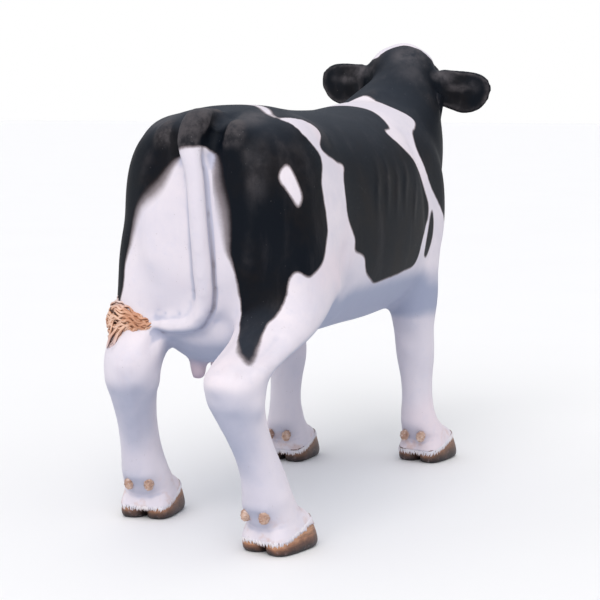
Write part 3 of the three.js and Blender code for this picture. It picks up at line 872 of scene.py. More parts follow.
def patch_edge(clay):
    """The distance to the edge of the black patches, positive inside them."""
    black = np.minimum(clay.inside(HIND_PATCH, HIND_SEED), clay.at[:, 2] - HIND_BLACK_FROM)
    for outline, seed in ((RIB_PATCH, RIB_SEED), (SLIVER, SLIVER_SEED)):
        black = np.maximum(black, clay.inside(outline, seed, turned_away=-0.2))
    neck = clay.inside(NECK_PATCH, NECK_SEED, turned_away=-2)
    black = np.maximum(black, np.where(clay.at[:, 2] < FORE_BLACK_FROM, -60, neck))
    black = np.minimum(black, -clay.inside(HIP_SPOT, HIP_SPOT_SEED, turned_away=0))
    head = HEAD.into(clay.at)
    blaze = clay.inside(BLAZE, BLAZE_SEED, HEAD, turned_away=-2)
    return np.where((head[:, 0] > -90) & (np.abs(head[:, 2]) < 110),
                    np.minimum(black, -blaze), black)


def tail_edge(clay):
    """Which vertices are the tail's, and how far above its turn to white each of them is."""
    gap, share = clay.along(TAIL_LINE, None, 80)
    line = smooth_run(TAIL_LINE, 200)
    turn = np.argmax((line[:, 2] < TAIL_WHITE_FROM) & (line[:, 0] < -100)) / 200
    radius = np.interp(share, np.linspace(0, 1, len(TAIL)), [row[3] for row in TAIL])
    tail = (gap < radius + 5) & (clay.at[:, 0] < -96) | (gap < radius + 4) & (share > 0.5)
    return tail, (turn - share) * TAIL_LENGTH


def painted_crease_shade(clay):
    """Painted shade in the creases beside the tail, along the mouth's line and in the nostrils."""
    def line(points, width, place=None):
        return np.exp(-(clay.along(points, place, 30)[0] / width) ** 2)
    lines = [line(tail_crease(-1), 3.4), 0.2 * line(tail_crease(1, 40), 7)]
    for side in (1, -1):
        lines.append(0.8 * line(mirrored(MOUTH, side), 4, HEAD))
        lines += [clay.near((x - 7, side * y, z), (wide, wide, wide), HEAD)
                  for x, y, z, wide in NOSTRIL]
    return greatest(lines)


def near_hooves(clay):
    """1 at the coronets, fading up the leg."""
    share = np.zeros(len(clay.at))
    for name in FEET:
        local = foot_place(name).into(clay.at)
        above = above_coronet(local)
        here = (np.hypot(local[:, 0], local[:, 1]) < 130) & (above < 90)
        share = np.where(here, np.clip(1 - above / 70, 0, 1), share)
    return share


def shaded_below(clay):
    """The belly, the chest and the legs' tops, which are painted in shade."""
    x, z = clay.at[:, 0], clay.at[:, 2]
    belly = 1.5 * falling(z, 470, 80) * rising(x, 40, 70) * rising(z, 330, 50)
    return np.maximum(belly, 0.22 * falling(z, 400, 60))


def draw_markings(clay):
    """Writes at each vertex what the skin's paint reads there."""
    tail, above_turn = tail_edge(clay)
    black = clay.blurred(np.where(tail, above_turn, patch_edge(clay)), 2)
    feather = 3.2 + 13 * clay.near((-100, 100, 640), (90, 110, 190))
    feather += 15 * clay.near((-106, -60, 650), (60, 60, 150)) * ~tail
    feather += 4 * clay.near((-200, -150, 380), (80, 60, 60))
    head = HEAD.into(clay.at)
    muzzle = rising(head[:, 0] + np.abs(head[:, 2] + 4) * 0.25, 222, 16)
    ear_front = np.clip(clay.out @ EARS.way((1, 0, 0)), 0, 1)
    drawn = {
        "below": shaded_below(clay),
        "grey_highlight": greatest(share * clay.near(spot, reach, place) ** 0.7
                           for spot, reach, share, place in GREY_HIGHLIGHTS),
        "black": black,
        "feather": feather,
        # how far the skin lies in a hollow, for the painted shade in hollows and the painted highlight on
        # raised parts
        "hollow": clay.blurred(clay.hollows(), 4) * 100,
        "teat": greatest(clay.near((x, side * y, 310), (34, 34, 52))
                         for x, y in TEATS for side in (1, -1)),
        "muzzle": np.where(np.abs(head[:, 2]) < 100, muzzle, 0),
        "ear": greatest(clay.near((40, side * 148, -8), (50, 54, 32), EARS) * ear_front
                        for side in (1, -1)),
        "hoof": near_hooves(clay),
        "crease": painted_crease_shade(clay),
        # which way the skin faces, for the painted shade on its undersides and the painted highlight on
        # the black's tops
        "up": clay.blurred(clay.out[:, 2].copy(), 6),
    }
    for name, values in drawn.items():
        mark(clay.piece, name, values)


# ------------------------------------------------------------------ shaders

class Shade:
    """A socket's value in a material, which the operators turn into Math nodes."""

    def __init__(self, mix, socket):
        self.mix = mix
        self.socket = socket

    def maths(self, operation, *values, clamp=False):
        settings = dict(operation=operation, use_clamp=clamp)
        return self.mix.add("ShaderNodeMath", settings, dict(enumerate(values)))

    def __add__(self, other):
        return self.maths("ADD", self, other)

    def __radd__(self, other):
        return self.maths("ADD", other, self)

    def __sub__(self, other):
        return self.maths("SUBTRACT", self, other)

    def __rsub__(self, other):
        return self.maths("SUBTRACT", other, self)

    def __mul__(self, other):
        return self.maths("MULTIPLY", self, other)

    def __rmul__(self, other):
        return self.maths("MULTIPLY", other, self)

    def __truediv__(self, other):
        return self.maths("DIVIDE", self, other)

    def __neg__(self):
        return self.maths("MULTIPLY", self, -1.0)

    def size(self):
        return self.maths("ABSOLUTE", self)

    def held(self):
        """Kept between 0 and 1."""
        return self.maths("ADD", self, 0.0, clamp=True)

    def ramp(self, low, high):
        """A soft step from 0 at low to 1 at high."""
        return self.mix.add("ShaderNodeMapRange", dict(interpolation_type="SMOOTHSTEP"),
                            {"Value": self, "From Min": low, "From Max": high})


class Finish:
    """One paint: a material and the nodes that make it."""

    def __init__(self, name, **shader):
        self.material = bpy.data.materials.new(name)
        self.material.use_nodes = True
        self.nodes = self.material.node_tree.nodes
        self.links = self.material.node_tree.links
        self.shader = self.nodes["Principled BSDF"]
        for socket, value in shader.items():
            self.shader.inputs[socket.replace("_", " ")].default_value = value
        self.place = self.add("ShaderNodeTexCoord", {}, {}, "Object")

    def add(self, kind, settings, inputs, output=0):
        node = self.nodes.new(kind)
        for key, value in settings.items():
            setattr(node, key, value)
        for key, value in inputs.items():
            if isinstance(value, Shade):
                self.links.new(value.socket, node.inputs[key])
            else:
                node.inputs[key].default_value = value
        return Shade(self, node.outputs[output])

    def feed(self, **inputs):
        for socket, value in inputs.items():
            self.links.new(value.socket, self.shader.inputs[socket.replace("_", " ")])

    def drawn(self, name):
        """A value painted on the skin's vertices."""
        return self.add("ShaderNodeAttribute", dict(attribute_name=name), {}, "Fac")

    def height(self):
        """Metres above the floor."""
        return self.add("ShaderNodeSeparateXYZ", {}, {0: self.place}, "Z")

    def noise(self, scale, detail=3.0, rough=0.55, stretch=None):
        vector = self.place
        if stretch:
            vector = self.add("ShaderNodeMapping", {}, {"Vector": self.place, "Scale": stretch})
        return self.add("ShaderNodeTexNoise", {}, {"Vector": vector, "Scale": scale,
                                                   "Detail": detail, "Roughness": rough})

    def cells(self, scale, output="Distance"):
        return self.add("ShaderNodeTexVoronoi", {}, {"Vector": self.place, "Scale": scale}, output)

    def blend(self, share, first, second):
        """A colour between two others."""
        node = self.nodes.new("ShaderNodeMix")
        node.data_type = "RGBA"
        for socket, value in ((node.inputs["Factor"], share), (node.inputs[6], first),
                              (node.inputs[7], second)):
            if isinstance(value, Shade):
                self.links.new(value.socket, socket)
            else:
                socket.default_value = value if isinstance(value, float) else (*value, 1.0)
        return Shade(self, node.outputs[2])

    def coated(self, colour, *coats):
        """The colour under thin coats, each with its share and its own colour."""
        for share, coat in coats:
            colour = self.blend(share, colour, coat)
        return colour

    def bump(self, height, strength, distance=0.001):
        return self.add("ShaderNodeBump", {}, {"Height": height, "Strength": strength,
                                               "Distance": distance}, "Normal")

    def on(self, piece):
        piece.data.materials.clear()
        piece.data.materials.append(self.material)


def skin_paint():
    """Satin black and white paint, sprayed and brushed over cast resin, with painted shade on the
    undersides and in the hollows, and painted highlights on the black.
    """
    paint = Finish("skin_paint", Roughness=0.6, IOR=1.4, Specular_IOR_Level=0.14)
    wander = (paint.noise(24.0, 2.0) - 0.5) * 6.0 + (paint.noise(210.0, 3.0, 0.7) - 0.5) * 2.4
    edge = paint.drawn("black") + wander
    feather = paint.drawn("feather")
    black = (edge / feather * 0.5 + 0.5).ramp(0.0, 1.0)
    up = paint.drawn("up")
    hollow = paint.drawn("hollow")
    cloud = paint.noise(9.0, 4.0, 0.6)
    # Painted shade in the hollows: bluish, and dark brown in the deepest creases
    deep = hollow.ramp(0.15, 1.8)
    # Painted highlight, patchy, on raised parts such as the pins, the ribs and the tail's root
    raised_highlight = (-hollow + (cloud - 0.5) * 0.8).ramp(0.15, 1.3) * (1.0 - (-hollow).ramp(1.5, 2.8))
    raised_highlight = raised_highlight * (0.25 + 0.9 * paint.noise(30.0, 4.0, 0.65).ramp(0.35, 0.65))
    patch = paint.noise(5.0, 2.0)
    streak = paint.noise(26.0, 4.0, 0.65, (1.0, 1.0, 0.18))
    grain = paint.noise(420.0, 4.0, 0.7)
    # Painted shade on the white: darker and bluer where the skin faces down, on the belly and the chest, a
    # little low on the legs, patchy, and less near the hooves
    below = paint.drawn("below") * 0.6 - up + (cloud - 0.5) * 0.6 - paint.drawn("hoof") * 0.3
    white = paint.coated(
        paint.blend(cloud.ramp(0.35, 0.7), (0.68, 0.64, 0.71), (0.77, 0.71, 0.76)),
        (patch.ramp(0.50, 0.72) * 0.5, (0.78, 0.66, 0.71)),
        (streak.ramp(0.55, 0.8) * 0.22, (0.60, 0.51, 0.56)),
        (paint.noise(42.0, 3.0, 0.6).ramp(0.5, 0.75) * 0.25, (0.60, 0.59, 0.70)),
        # painted shade on the undersides
        (below.ramp(-0.05, 0.85) * 0.88, (0.27, 0.31, 0.44)),
        # painted shade in the hollows, darkest in the deepest creases
        (deep * 0.7, (0.40, 0.42, 0.55)),
        (hollow.ramp(2.0, 5.0) * 0.6, (0.16, 0.13, 0.14)))
    # painted highlight, brushed in grey over the black
    grey_highlight_share = paint.drawn("grey_highlight") * paint.noise(16.0, 4.0, 0.65).ramp(0.3, 0.7)
    dark = paint.coated(
        paint.blend(cloud.ramp(0.4, 0.75), (0.002, 0.004, 0.008), (0.007, 0.006, 0.007)),
        # painted highlight: the black turns slate-blue where it faces up
        (up.ramp(0.3, 0.95) * (0.4 + 0.4 * streak), (0.032, 0.040, 0.056)),
        # brown-grey streaks in the paint, and the painted highlight on raised parts
        ((streak.ramp(0.5, 0.85) * 0.25 + raised_highlight * 0.8).held(), (0.070, 0.063, 0.068)),
        (grey_highlight_share * (0.55 + 0.9 * (grain - 0.3)), (0.13, 0.12, 0.13)))
    rim = (1.0 - (edge.size() / (feather * 1.2)).held()) * 0.5
    blush = paint.drawn("hoof") * paint.noise(34.0, 3.0).ramp(0.5, 0.7) * 0.55
    pit = (1.0 - paint.cells(150.0).ramp(0.05, 0.16)) * paint.noise(33.0, 1.0).ramp(0.62, 0.67)
    colour = paint.coated(
        paint.blend(black, white, dark),
        (rim, (0.10, 0.065, 0.06)),
        (paint.drawn("teat") * 0.75, (0.46, 0.30, 0.34)),
        (paint.drawn("muzzle") * (0.55 + 0.45 * cloud), (0.36, 0.20, 0.20)),
        # painted shade in the creases beside the tail, the mouth's line and the nostrils
        (paint.drawn("crease") * (1.0 - black) * 0.85, (0.13, 0.10, 0.11)),
        (paint.drawn("ear") * 0.5, (0.10, 0.07, 0.07)),
        (blush, (0.58, 0.37, 0.30)),
        (pit * 0.55, paint.blend(black, (0.22, 0.17, 0.15), (0.16, 0.16, 0.17))))
    height = grain * 0.35 + paint.noise(1300.0, 2.0) * 0.12 - pit * 1.6 + streak * black * 0.25
    paint.feed(Base_Color=colour,
               Roughness=(0.58 + (grain - 0.5) * 0.2),
               Normal=paint.bump(height, 0.35))
    return paint


def hoof_paint():
    """Tan at the coronet, through brown to near-black at the sole, rubbed over growth rings; each hoof is
    painted more tan the more light falls on it, as painted light and shade, and darker just under the
    skin's edge, as painted shade.
    """
    paint = Finish("hoof_paint", Roughness=0.42, IOR=1.46)
    up = paint.drawn("up")
    patch = paint.noise(48.0, 4.0, 0.65)
    rings = paint.noise(30.0, 3.0, 0.6, (0.5, 0.5, 9.0))
    hoof_light = paint.drawn("hoof_light")
    level = up + (patch - 0.5) * 0.7
    # painted light and shade: the hooves in the light are painted more tan, those in shade darker brown
    brown = paint.blend(hoof_light, (0.052, 0.030, 0.025), (0.13, 0.060, 0.040))
    colour = paint.coated(
        paint.blend(level.ramp(0.02, 0.5), (0.012, 0.009, 0.011), brown),
        (level.ramp(0.36, 0.8) * (0.2 + 0.8 * hoof_light), (0.44, 0.205, 0.11)),
        (level.ramp(0.58, 0.92) * hoof_light * 0.85, (0.58, 0.34, 0.20)),
        (rings.ramp(0.52, 0.66) * 0.4, (0.05, 0.028, 0.024)),
        (paint.noise(90.0, 4.0, 0.7).ramp(0.56, 0.72) * 0.35, (0.34, 0.27, 0.27)),
        # painted shade: a dark band at the top of the hoof, under the skin's hanging edge
        (up.ramp(0.86, 0.96) * 0.55, (0.08, 0.034, 0.026)))
    grain = paint.noise(500.0, 4.0, 0.7)
    paint.feed(Base_Color=colour, Roughness=0.36 + grain * 0.2,
               Normal=paint.bump(rings * 0.8 + grain * 0.35, 0.5))
    return paint


def dewclaw_paint():
    """Tan lumps with pale rubbed streaks."""
    paint = Finish("dewclaw_paint", Roughness=0.45, IOR=1.46)
    streak = paint.noise(120.0, 3.0, 0.6, (1.0, 1.0, 3.0))
    patch = paint.noise(60.0, 3.0)
    colour = paint.coated(
        paint.blend(patch.ramp(0.35, 0.65), (0.36, 0.21, 0.15), (0.60, 0.42, 0.33)),
        (streak.ramp(0.55, 0.7) * 0.6, (0.74, 0.66, 0.66)),
        ((1.0 - streak.ramp(0.3, 0.42)) * 0.6, (0.13, 0.08, 0.07)))
    paint.feed(Base_Color=colour, Roughness=0.40 + patch * 0.15,
               Normal=paint.bump(streak, 0.6, 0.0015))
    return paint


def switch_paint():
    """Tan hair paint, paler towards the tips of the locks, with a painted highlight on their crowns and
    painted shade, dark brown, between them.
    """
    paint = Finish("switch_paint", Roughness=0.5, IOR=1.46)
    patch = paint.noise(26.0, 3.0)
    fine = paint.noise(260.0, 3.0, 0.7)
    top = paint.drawn("top")
    height = paint.height()
    colour = paint.coated(
        paint.blend(patch.ramp(0.35, 0.65), (0.46, 0.175, 0.07), (0.66, 0.32, 0.165)),
        # painted highlight on the locks' crowns
        (top.ramp(0.6, 1.0) * (0.25 + 0.5 * patch.ramp(0.4, 0.62)), (0.82, 0.60, 0.49)),
        (paint.drawn("along").ramp(0.7, 1.0) * 0.2, (0.72, 0.60, 0.58)),
        ((1.0 - height.ramp(0.355, 0.395)) * 0.7, (0.70, 0.62, 0.66)),
        (height.ramp(0.430, 0.452) * 0.8, (0.72, 0.63, 0.64)),
        # painted shade, dark brown, under and between the locks
        ((1.0 - top).ramp(0.14, 0.6) * 0.95, (0.085, 0.028, 0.017)))
    paint.feed(Base_Color=colour, Roughness=0.44 + fine * 0.18,
               Normal=paint.bump(fine, 0.4, 0.0008))
    return paint


def hair_paint():
    """White paint over the short hair at the hooves, a little stained towards the tips, with painted shade
    under the tufts.
    """
    paint = Finish("hair_paint", Roughness=0.52, IOR=1.46)
    patch = paint.noise(45.0, 3.0)
    stain = paint.drawn("along").ramp(0.45, 1.0) * (0.35 + 0.5 * patch.ramp(0.4, 0.7))
    colour = paint.coated(
        paint.blend(patch.ramp(0.35, 0.7), (0.72, 0.70, 0.77), (0.80, 0.76, 0.78)),
        # painted shade, grey, on the tufts' undersides
        ((1.0 - paint.drawn("top")).ramp(0.55, 1.0) * 0.7, (0.33, 0.27, 0.30)),
        (stain, (0.42, 0.31, 0.29)))
    paint.feed(Base_Color=colour, Roughness=0.48 + patch * 0.12,
               Normal=paint.bump(paint.noise(400.0, 3.0, 0.7), 0.4))
    return paint


def eye_paint():
    """Dark brown paint under gloss varnish, with a long dark pupil."""
    paint = Finish("eye_paint", Roughness=0.08, IOR=1.5, Coat_Weight=1.0, Coat_Roughness=0.04)
    pupil = paint.drawn("pupil")
    mottle = paint.noise(300.0, 3.0)
    colour = paint.blend(mottle, (0.030, 0.014, 0.009), (0.060, 0.028, 0.016))
    colour = paint.blend(pupil.ramp(0.35, 0.6), colour, (0.004, 0.004, 0.005))
    paint.feed(Base_Color=colour)
    return paint


def floor_paint():
    paint = Finish("floor_paint", Roughness=0.6)
    shade = paint.noise(1.5, 2.0)
    paint.feed(Base_Color=paint.blend(shade, (0.86, 0.86, 0.87), (0.88, 0.88, 0.89)))
    return paint


# ------------------------------------------------------------------ hooves and dewclaws

# How far the dewclaws lie behind and beside the foot's middle, and how high on each pair of legs
DEWCLAW = dict(behind=72, out=21, hind=76, fore=65)
HOOF_OVERLAP = 5       # how far the horn runs up under the skin's edge
# How tan each hoof is painted, as painted light and shade: the hoof most in the light has 1, those in the
# body's shade less
HOOF_LIGHT = dict(hind_right=1.0, hind_left=0.42, fore_right=0.25, fore_left=0.15)


def make_claw(name, out, finish):
    """One half of a hoof, towards the left of the foot for out = 1; its walls are shaded smooth."""
    foot = FEET[name]
    place = foot_place(name)
    rows = [station([0, out * (inner + outer) / 2, z], Y, X, (outer - inner) / 2, toe, heel,
                    CLAW_SQUARE)
            for z, toe, heel, inner, outer in CLAW]
    bm = bmesh.new()
    loft(bm, rows, around=40, count=28, start=0.0, end=0.0, place=place)
    cut_along_coronet(bm, bm.verts[:], place, HOOF_OVERLAP)
    bmesh.ops.remove_doubles(bm, verts=bm.verts[:], dist=0.05)
    bmesh.ops.recalc_face_normals(bm, faces=bm.faces[:])
    side = "outer" if out == foot["side"] else "inner"
    piece = new_piece(f"hoof_{name}_{side}", bm)
    local = place.into(vertices_of(piece))
    top = CORONET + local[:, 0] * CORONET_SLOPE
    mark(piece, "up", np.clip(local[:, 2] / top, 0, 1.2))
    mark(piece, "hoof_light", np.full(len(local), HOOF_LIGHT[name]))
    for polygon in piece.data.polygons:
        polygon.use_smooth = abs(polygon.normal.z) < 0.98
    finish.on(piece)
    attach(piece, "root")
    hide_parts(f"{name}_claw_{side}")


def make_dewclaw(name, out, finish):
    """A rippled knob behind the foot."""
    foot = FEET[name]
    place = foot_place(name)
    bm = bmesh.new()
    made = bmesh.ops.create_icosphere(bm, subdivisions=4, radius=1.0)

    def rippled(ball):
        ripple = 1 + 0.05 * np.sin(ball[:, 2] * 11 + ball[:, 1] * 4) + 0.04 * np.sin(ball[:, 1] * 9)
        reach = np.array([13.5, 9.8, 12.4]) * ripple[:, None]
        point = ball * reach
        point[:, 0] -= np.clip(-ball[:, 2], 0, 1) * 3
        return point + np.array([-DEWCLAW["behind"], out * DEWCLAW["out"], DEWCLAW[name[:4]]])
    laid(made["verts"], rippled, place)
    side = "outer" if out == foot["side"] else "inner"
    piece = new_piece(f"dewclaw_{name}_{side}", bm)
    smooth(piece)
    finish.on(piece)
    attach(piece, "root")
    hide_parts(f"{name}_dewclaw_{side}")


# ------------------------------------------------------------------ eyes

def make_eye(side_name, side, finish):
    """An eyeball, with its long pupil marked on the outward half."""
    bm = bmesh.new()
    made = bmesh.ops.create_uvsphere(bm, u_segments=48, v_segments=32, radius=1.0)
    middle = np.array([EYE["along"], side * EYE["out"], EYE["rise"]])
    laid(made["verts"], lambda ball: middle + ball * EYE["radius"], HEAD)
    piece = new_piece(f"eyeball_{side_name}", bm)
    local = (HEAD.into(vertices_of(piece)) - middle) / EYE["radius"]
    wide = np.hypot(local[:, 0] / 0.52, local[:, 2] / 0.3)
    mark(piece, "pupil", np.where(local[:, 1] * side > 0, np.clip(1.3 - wide, 0, 1), 0))
    smooth(piece)
    finish.on(piece)
    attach(piece, "root")
    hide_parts(f"eye_{side_name}")


# ------------------------------------------------------------------ sculpted hair

SEAT = 0.003           # breadth of one lock's patch of the map


def straight_lock(sides, steps):
    """A unit tube from z = -0.5 to 0.5, with rings along it to bend it by."""
    bm = bmesh.new()
    bmesh.ops.create_cone(bm, cap_ends=True, segments=sides, radius1=1, radius2=1, depth=1)
    long = [e for e in bm.edges if abs(e.verts[0].co.z - e.verts[1].co.z) > 0.5]
    bmesh.ops.subdivide_edges(bm, edges=long, cuts=steps - 2)
    mesh = bpy.data.meshes.new("straight_lock")
    bm.to_mesh(mesh)
    bm.free()
    return mesh


def lay_locks(name, lines, outs, thick, seats, sides=6, flat=0.9, butt=0.25, tip=0.28):
    """One solid lock along each line, flattened against what it lies on, narrowing to its tip.
    Each lock's patch of the map is small, at its root's place."""
    count, steps = lines.shape[:2]
    straight = straight_lock(sides, steps)
    bm = bmesh.new()
    for _ in range(count):
        bm.from_mesh(straight)
    each = np.array([vert.co[:] for vert in bm.verts]).reshape(count, -1, 3)
    bpy.data.meshes.remove(straight)
    ahead = np.gradient(lines, axis=1)
    ahead /= np.linalg.norm(ahead, axis=2)[..., None]
    across = np.cross(ahead, outs)
    across /= np.linalg.norm(across, axis=2)[..., None] + 1e-9
    over = np.cross(across, ahead)
    share = each[0, :, 2] + 0.5
    ring = np.rint(share * (steps - 1)).astype(int)
    size = butt + (1 - butt) * np.clip(share * 3.5, 0, 1)
    size = size * (1 - (1 - tip) * rising(share, 0.5, 0.5) ** 1.5)
    size = size[None, :, None] * np.asarray(thick)[:, None, None]
    at = (lines[:, ring] + across[:, ring] * each[..., :1] * size
          + over[:, ring] * each[..., 1:2] * size * flat)
    for vert, point in zip(bm.verts, at.reshape(-1, 3)):
        vert.co = point
    uv = bm.loops.layers.uv.new("OFBake")
    angle = (np.arctan2(each[0, :, 1], each[0, :, 0]) / (2 * math.pi) + 0.5) * SEAT
    per_lock = each.shape[1]
    bm.verts.index_update()
    for face in bm.faces:
        for loop in face.loops:
            lock, spot = divmod(loop.vert.index, per_lock)
            loop[uv].uv = (seats[lock][0] + SEAT * share[spot], seats[lock][1] + angle[spot])
    bmesh.ops.recalc_face_normals(bm, faces=bm.faces[:])
    piece = new_piece(name, bm)
    smooth(piece)
    flat_out = np.broadcast_to(each[..., 1], (count, per_lock))
    # top is 1 on a lock's crown and 0 under it, for its painted highlight and painted shade
    mark(piece, "top", (flat_out * 0.5 + 0.5).ravel())
    mark(piece, "along", np.tile(share, count))
    return piece


def on_switch(run, t, angle, lift):
    """Points on the switch, t along it and at an angle round it, lifted off its surface."""
    row = row_at(np.clip(t, 0, 1), np.linspace(0, 1, len(run)), run)
    cos, sin = np.cos(angle)[..., None], np.sin(angle)[..., None]
    wide, deep = row[..., WIDE, None], row[..., OVER, None]
    out = row[..., SIDE] * cos / wide + row[..., UP] * sin / deep
    out /= np.linalg.norm(out, axis=-1)[..., None]
    at = row[..., AT] + row[..., SIDE] * cos * wide + row[..., UP] * sin * deep
    return at + out * lift[..., None], out


def strewn(dice, count, middle, reach):
    """Points strewn round a middle."""
    return np.array(middle) + dice.uniform(-1, 1, (count, 3)) * np.array(reach)


# The switch's layers from the inside out: [locks, lift off the surface, thickness, lean]
SWITCH_LAYERS = [(86, -3.6, 4.0, 0.08), (66, -0.4, 3.7, 0.12), (46, 2.8, 3.5, 0.2)]
SWITCH_INSET = 4.5     # how far the form under the locks lies below the switch's surface
LOCK_STEPS = np.linspace(0, 1, 18)[None, :]


def switch_rows():
    return [station([x, y, z], Z, unit(np.array([-0.9, 0.4, 0])), high, deep, deep)
            for x, y, z, high, deep in SWITCH]


def wavy_locks(dice, run, count, lift, wide, spread):
    """A layer of wavy locks along the switch; two in five of them start at its root."""
    steps, each = LOCK_STEPS, np.arange(count)[:, None]
    first = np.where(each % 5 < 2, dice.uniform(-0.05, 0.15, (count, 1)),
                     dice.uniform(0.05, 0.66, (count, 1)))
    length = dice.uniform(0.32, 0.52, (count, 1))
    angle = 2 * math.pi * (each * 0.618 + dice.uniform(-0.02, 0.02, (count, 1)))
    lean = dice.uniform(-spread, spread, (count, 1))
    phase = dice.uniform(0, 2 * math.pi, (count, 1))
    turns = dice.uniform(1.7, 2.8, (count, 1))
    t = first + steps * length
    high = np.interp(np.clip(t, 0, 1), np.linspace(0, 1, len(run)), run[:, WIDE])
    wave = 2.8 / high * np.sin(phase + steps * turns * 2 * math.pi)
    rise = lift + 1.5 * np.sin(phase * 2 + steps * turns * 4.7)
    rise = rise - 5 * rising(steps, 0.88, 0.12) - 3 * falling(steps, 0.1, 0.1)
    at, out = on_switch(run, t, angle + lean * steps + wave, rise)
    droop = np.clip(t - 0.5, 0, 1) ** 2 * 90 * falling(at[..., 2], 412, 40)
    at -= droop[..., None] * np.array([0.4, 0.8, 1])
    seats = zip((first[:, 0] + 0.1) * 0.9 + 0.05, (angle[:, 0] / (2 * math.pi)) % 1 * 0.9 + 0.05)
    return at, out, wide * dice.uniform(0.82, 1.15, count), list(seats)


def drooping_locks(dice, run, count=22):
    """Locks that leave the switch's underside and gather to a point below it."""
    steps = LOCK_STEPS
    angle = dice.uniform(1.5, 3.3, (count, 1))
    first = dice.uniform(0.30, 0.55, (count, 1))
    ends = strewn(dice, count, (-102, 186, 360), (5, 12, 5))
    wave = 0.09 * np.sin(dice.uniform(0, 6, (count, 1)) + steps * 12)
    at, out = on_switch(run, first + 0.2 * steps, angle + wave, np.ones_like(wave))
    bend = np.clip(steps ** 1.5 * (3 - 2 * steps ** 0.75), 0, 1)[..., None]
    seats = zip(first[:, 0] * 0.9 + 0.05, angle[:, 0] / 7 + 0.05)
    return at * (1 - bend) + ends[:, None] * bend, out, dice.uniform(2.6, 3.4, count), list(seats)


def pale_strands(dice, count=12):
    """Strands that come down off the thigh into the switch."""
    steps = LOCK_STEPS[..., None]
    root = strewn(dice, count, (-58, 190, 460), (10, 6, 7))
    ends = strewn(dice, count, (-62, 200, 432), (12, 8, 4))
    sway = np.sin(dice.uniform(0, 6, (count, 1, 1)) + steps * 9) * np.array([1.6, -1.0, 0])
    lines = root[:, None] * (1 - steps) + ends[:, None] * steps + sway
    outs = np.broadcast_to(unit(np.array([-0.95, 0.1, 0.2])), lines.shape)
    seats = [(0.5, 0.05 + 0.9 * k / count) for k in range(count)]
    return lines, outs, dice.uniform(2.0, 2.8, count), seats


def make_switch():
    bm = bmesh.new()
    loft(bm, switch_rows(), around=40, count=30, start=6, end=10)
    base = new_piece("switch_base", bm)
    clay = Clay(base)
    clay.at -= clay.out * SWITCH_INSET
    clay.save()
    # the form under the locks reads 0 as top, so it takes the painted shade between the locks all over
    mark(base, "top", np.zeros(len(clay.at)))
    mark(base, "along", np.zeros(len(clay.at)))
    smooth(base)
    paint = switch_paint()
    run = unit_axes(smooth_run(switch_rows(), 60))
    dice = np.random.default_rng(11)
    layers = [wavy_locks(dice, run, *layer) for layer in SWITCH_LAYERS]
    layers += [drooping_locks(dice, run), pale_strands(dice)]
    lines, outs, thick, seats = zip(*layers)
    locks = lay_locks("switch_locks", np.concatenate(lines), np.concatenate(outs),
                      np.concatenate(thick), sum(seats, []))
    for piece in (base, locks):
        paint.on(piece)
        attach(piece, "root")
        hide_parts("tail_switch")


def make_coronet_hair(name, paint, count=240):
    """Short tufts of the leg's hair that hang over the top of the hoof."""
    place = foot_place(name)
    dice = np.random.default_rng(sum(map(ord, name)))
    angle = 2 * math.pi * (np.arange(count) + dice.uniform(-0.4, 0.4, count)) / count
    steps = np.linspace(0, 1, 6)[None, :]
    length = dice.uniform(8, 13, (count, 1))
    lean = dice.uniform(-0.09, 0.09, (count, 1))
    turn = angle[:, None] + lean * steps
    cos, sin = np.cos(turn), np.sin(turn)
    level = np.full(turn.shape, 50.0)
    # the horn's wall leans, so its reach and the level that it meets are found by turns
    for _ in range(4):
        wall = np.stack([cos, sin, level], axis=-1)
        reach = hoof_reach(wall.reshape(-1, 3)).reshape(turn.shape)
        level = CORONET + reach * cos * CORONET_SLOPE + 3 - steps * length
    lift = 0.6 + 0.9 * np.sin(steps * math.pi) - 0.9 * steps
    lines = np.stack([cos * (reach + lift), sin * (reach + lift), level], axis=-1)
    outs = np.stack([cos, sin, np.zeros_like(turn)], axis=-1)
    seats = [(0.03 + 0.9 * k / count, 0.3) for k in range(count)]
    piece = lay_locks(f"coronet_hair_{name}", place.out(lines), outs @ place.turn.T,
                      dice.uniform(1.1, 2.1, count), seats, sides=5, flat=0.6, butt=0.9, tip=0.3)
    paint.on(piece)
    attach(piece, "root")


# ------------------------------------------------------------------ building the statue

skin = new_piece("skin", raw_body())
remesh = skin.modifiers.new("cast", "REMESH")
remesh.mode = "VOXEL"
remesh.voxel_size = BODY_GRAIN * MM
applied(skin)
clay = Clay(skin)
model_trunk(clay)
for foot_name in FEET:
    model_leg(clay, foot_name)
clay.renew()
clay.relax(0.4, 2)
refine(skin, fine_places(clay))
clay.load()
trim_at_coronets(clay)
model_tail(clay)
model_head(clay)
clay.renew()
clay.relax(0.4, 1)
draw_markings(clay)
clay.save()
smooth(skin)
skin_paint().on(skin)
print("skin", len(skin.data.vertices), len(skin.data.polygons))
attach(skin, "root")
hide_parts(*FLESH)

horn, knob, gloss = hoof_paint(), dewclaw_paint(), eye_paint()
for foot_name in FEET:
    for out in (1, -1):
        make_claw(foot_name, out, horn)
        make_dewclaw(foot_name, out, knob)
make_eye("left", 1, gloss)
make_eye("right", -1, gloss)
make_switch()
short_hair = hair_paint()
for foot_name in FEET:
    make_coronet_hair(foot_name, short_hair)


# ------------------------------------------------------------------ floor, light and camera

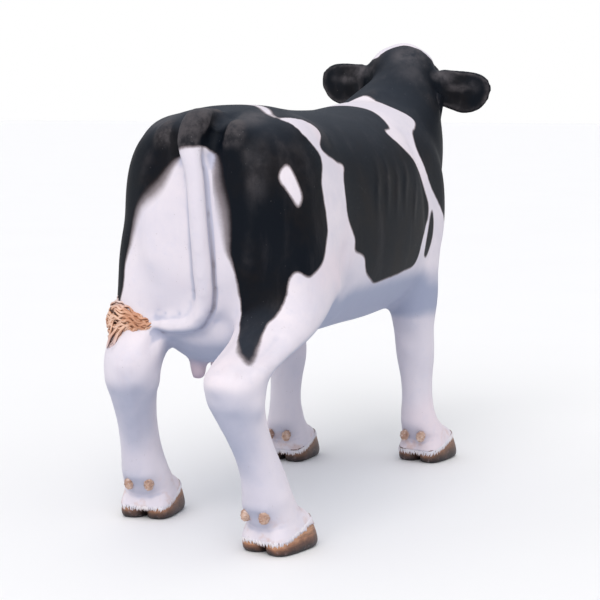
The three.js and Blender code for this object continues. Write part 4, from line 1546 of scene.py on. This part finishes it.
def sun_light(name, towards, power, spread, colour):
    data = bpy.data.lights.new(name, "SUN")
    data.energy = power
    data.angle = math.radians(spread)
    data.color = colour
    light = bpy.data.objects.new(name, data)
    bpy.context.scene.collection.objects.link(light)
    light.rotation_euler = Vector(towards).to_track_quat("-Z", "Y").to_euler()


def lay_floor():
    bm = bmesh.new()
    bmesh.ops.create_grid(bm, x_segments=1, y_segments=1, size=60)
    mesh = bpy.data.meshes.new("floor")
    bm.to_mesh(mesh)
    bm.free()
    floor = bpy.data.objects.new("floor", mesh)
    bpy.context.scene.collection.objects.link(floor)
    floor_paint().on(floor)


def studio_world():
    """White close to the floor's edge and overhead, and dimmer between."""
    world = bpy.data.worlds.new("studio")
    world.use_nodes = True
    nodes, links = world.node_tree.nodes, world.node_tree.links
    place = nodes.new("ShaderNodeTexCoord")
    split = nodes.new("ShaderNodeSeparateXYZ")
    ramp = nodes.new("ShaderNodeValToRGB")
    links.new(place.outputs["Generated"], split.inputs[0])
    links.new(split.outputs["Z"], ramp.inputs["Fac"])
    links.new(ramp.outputs["Color"], nodes["Background"].inputs["Color"])
    stops = ramp.color_ramp.elements
    stops[0].position, stops[0].color = 0.10, (1, 1, 1, 1)
    stops[1].position, stops[1].color = 0.22, (0.30, 0.34, 0.42, 1)
    for position in (0.7, 1.0):
        stops.new(position).color = (1, 1, 1, 1)
    nodes["Background"].inputs["Strength"].default_value = 1.0
    return world


def set_camera(at, looking, lens):
    camera = bpy.data.objects.new("camera", bpy.data.cameras.new("camera"))
    bpy.context.scene.collection.objects.link(camera)
    camera.data.sensor_width = 36
    camera.data.lens = lens
    camera.data.clip_end = 100
    camera.location = (np.array(at) - CENTRE) * MM
    camera.rotation_euler = Vector(looking).to_track_quat("-Z", "Y").to_euler()
    bpy.context.scene.camera = camera


lay_floor()
bpy.context.scene.world = studio_world()
bpy.context.scene.view_settings.view_transform = "Standard"
sun_light("key", (0.69, 0.13, -0.71), 1.42, 45, (1.0, 0.97, 0.95))
set_camera((-2827.0, -1466.0, 830.0), (0.9021, 0.4149, -0.1191), 99)
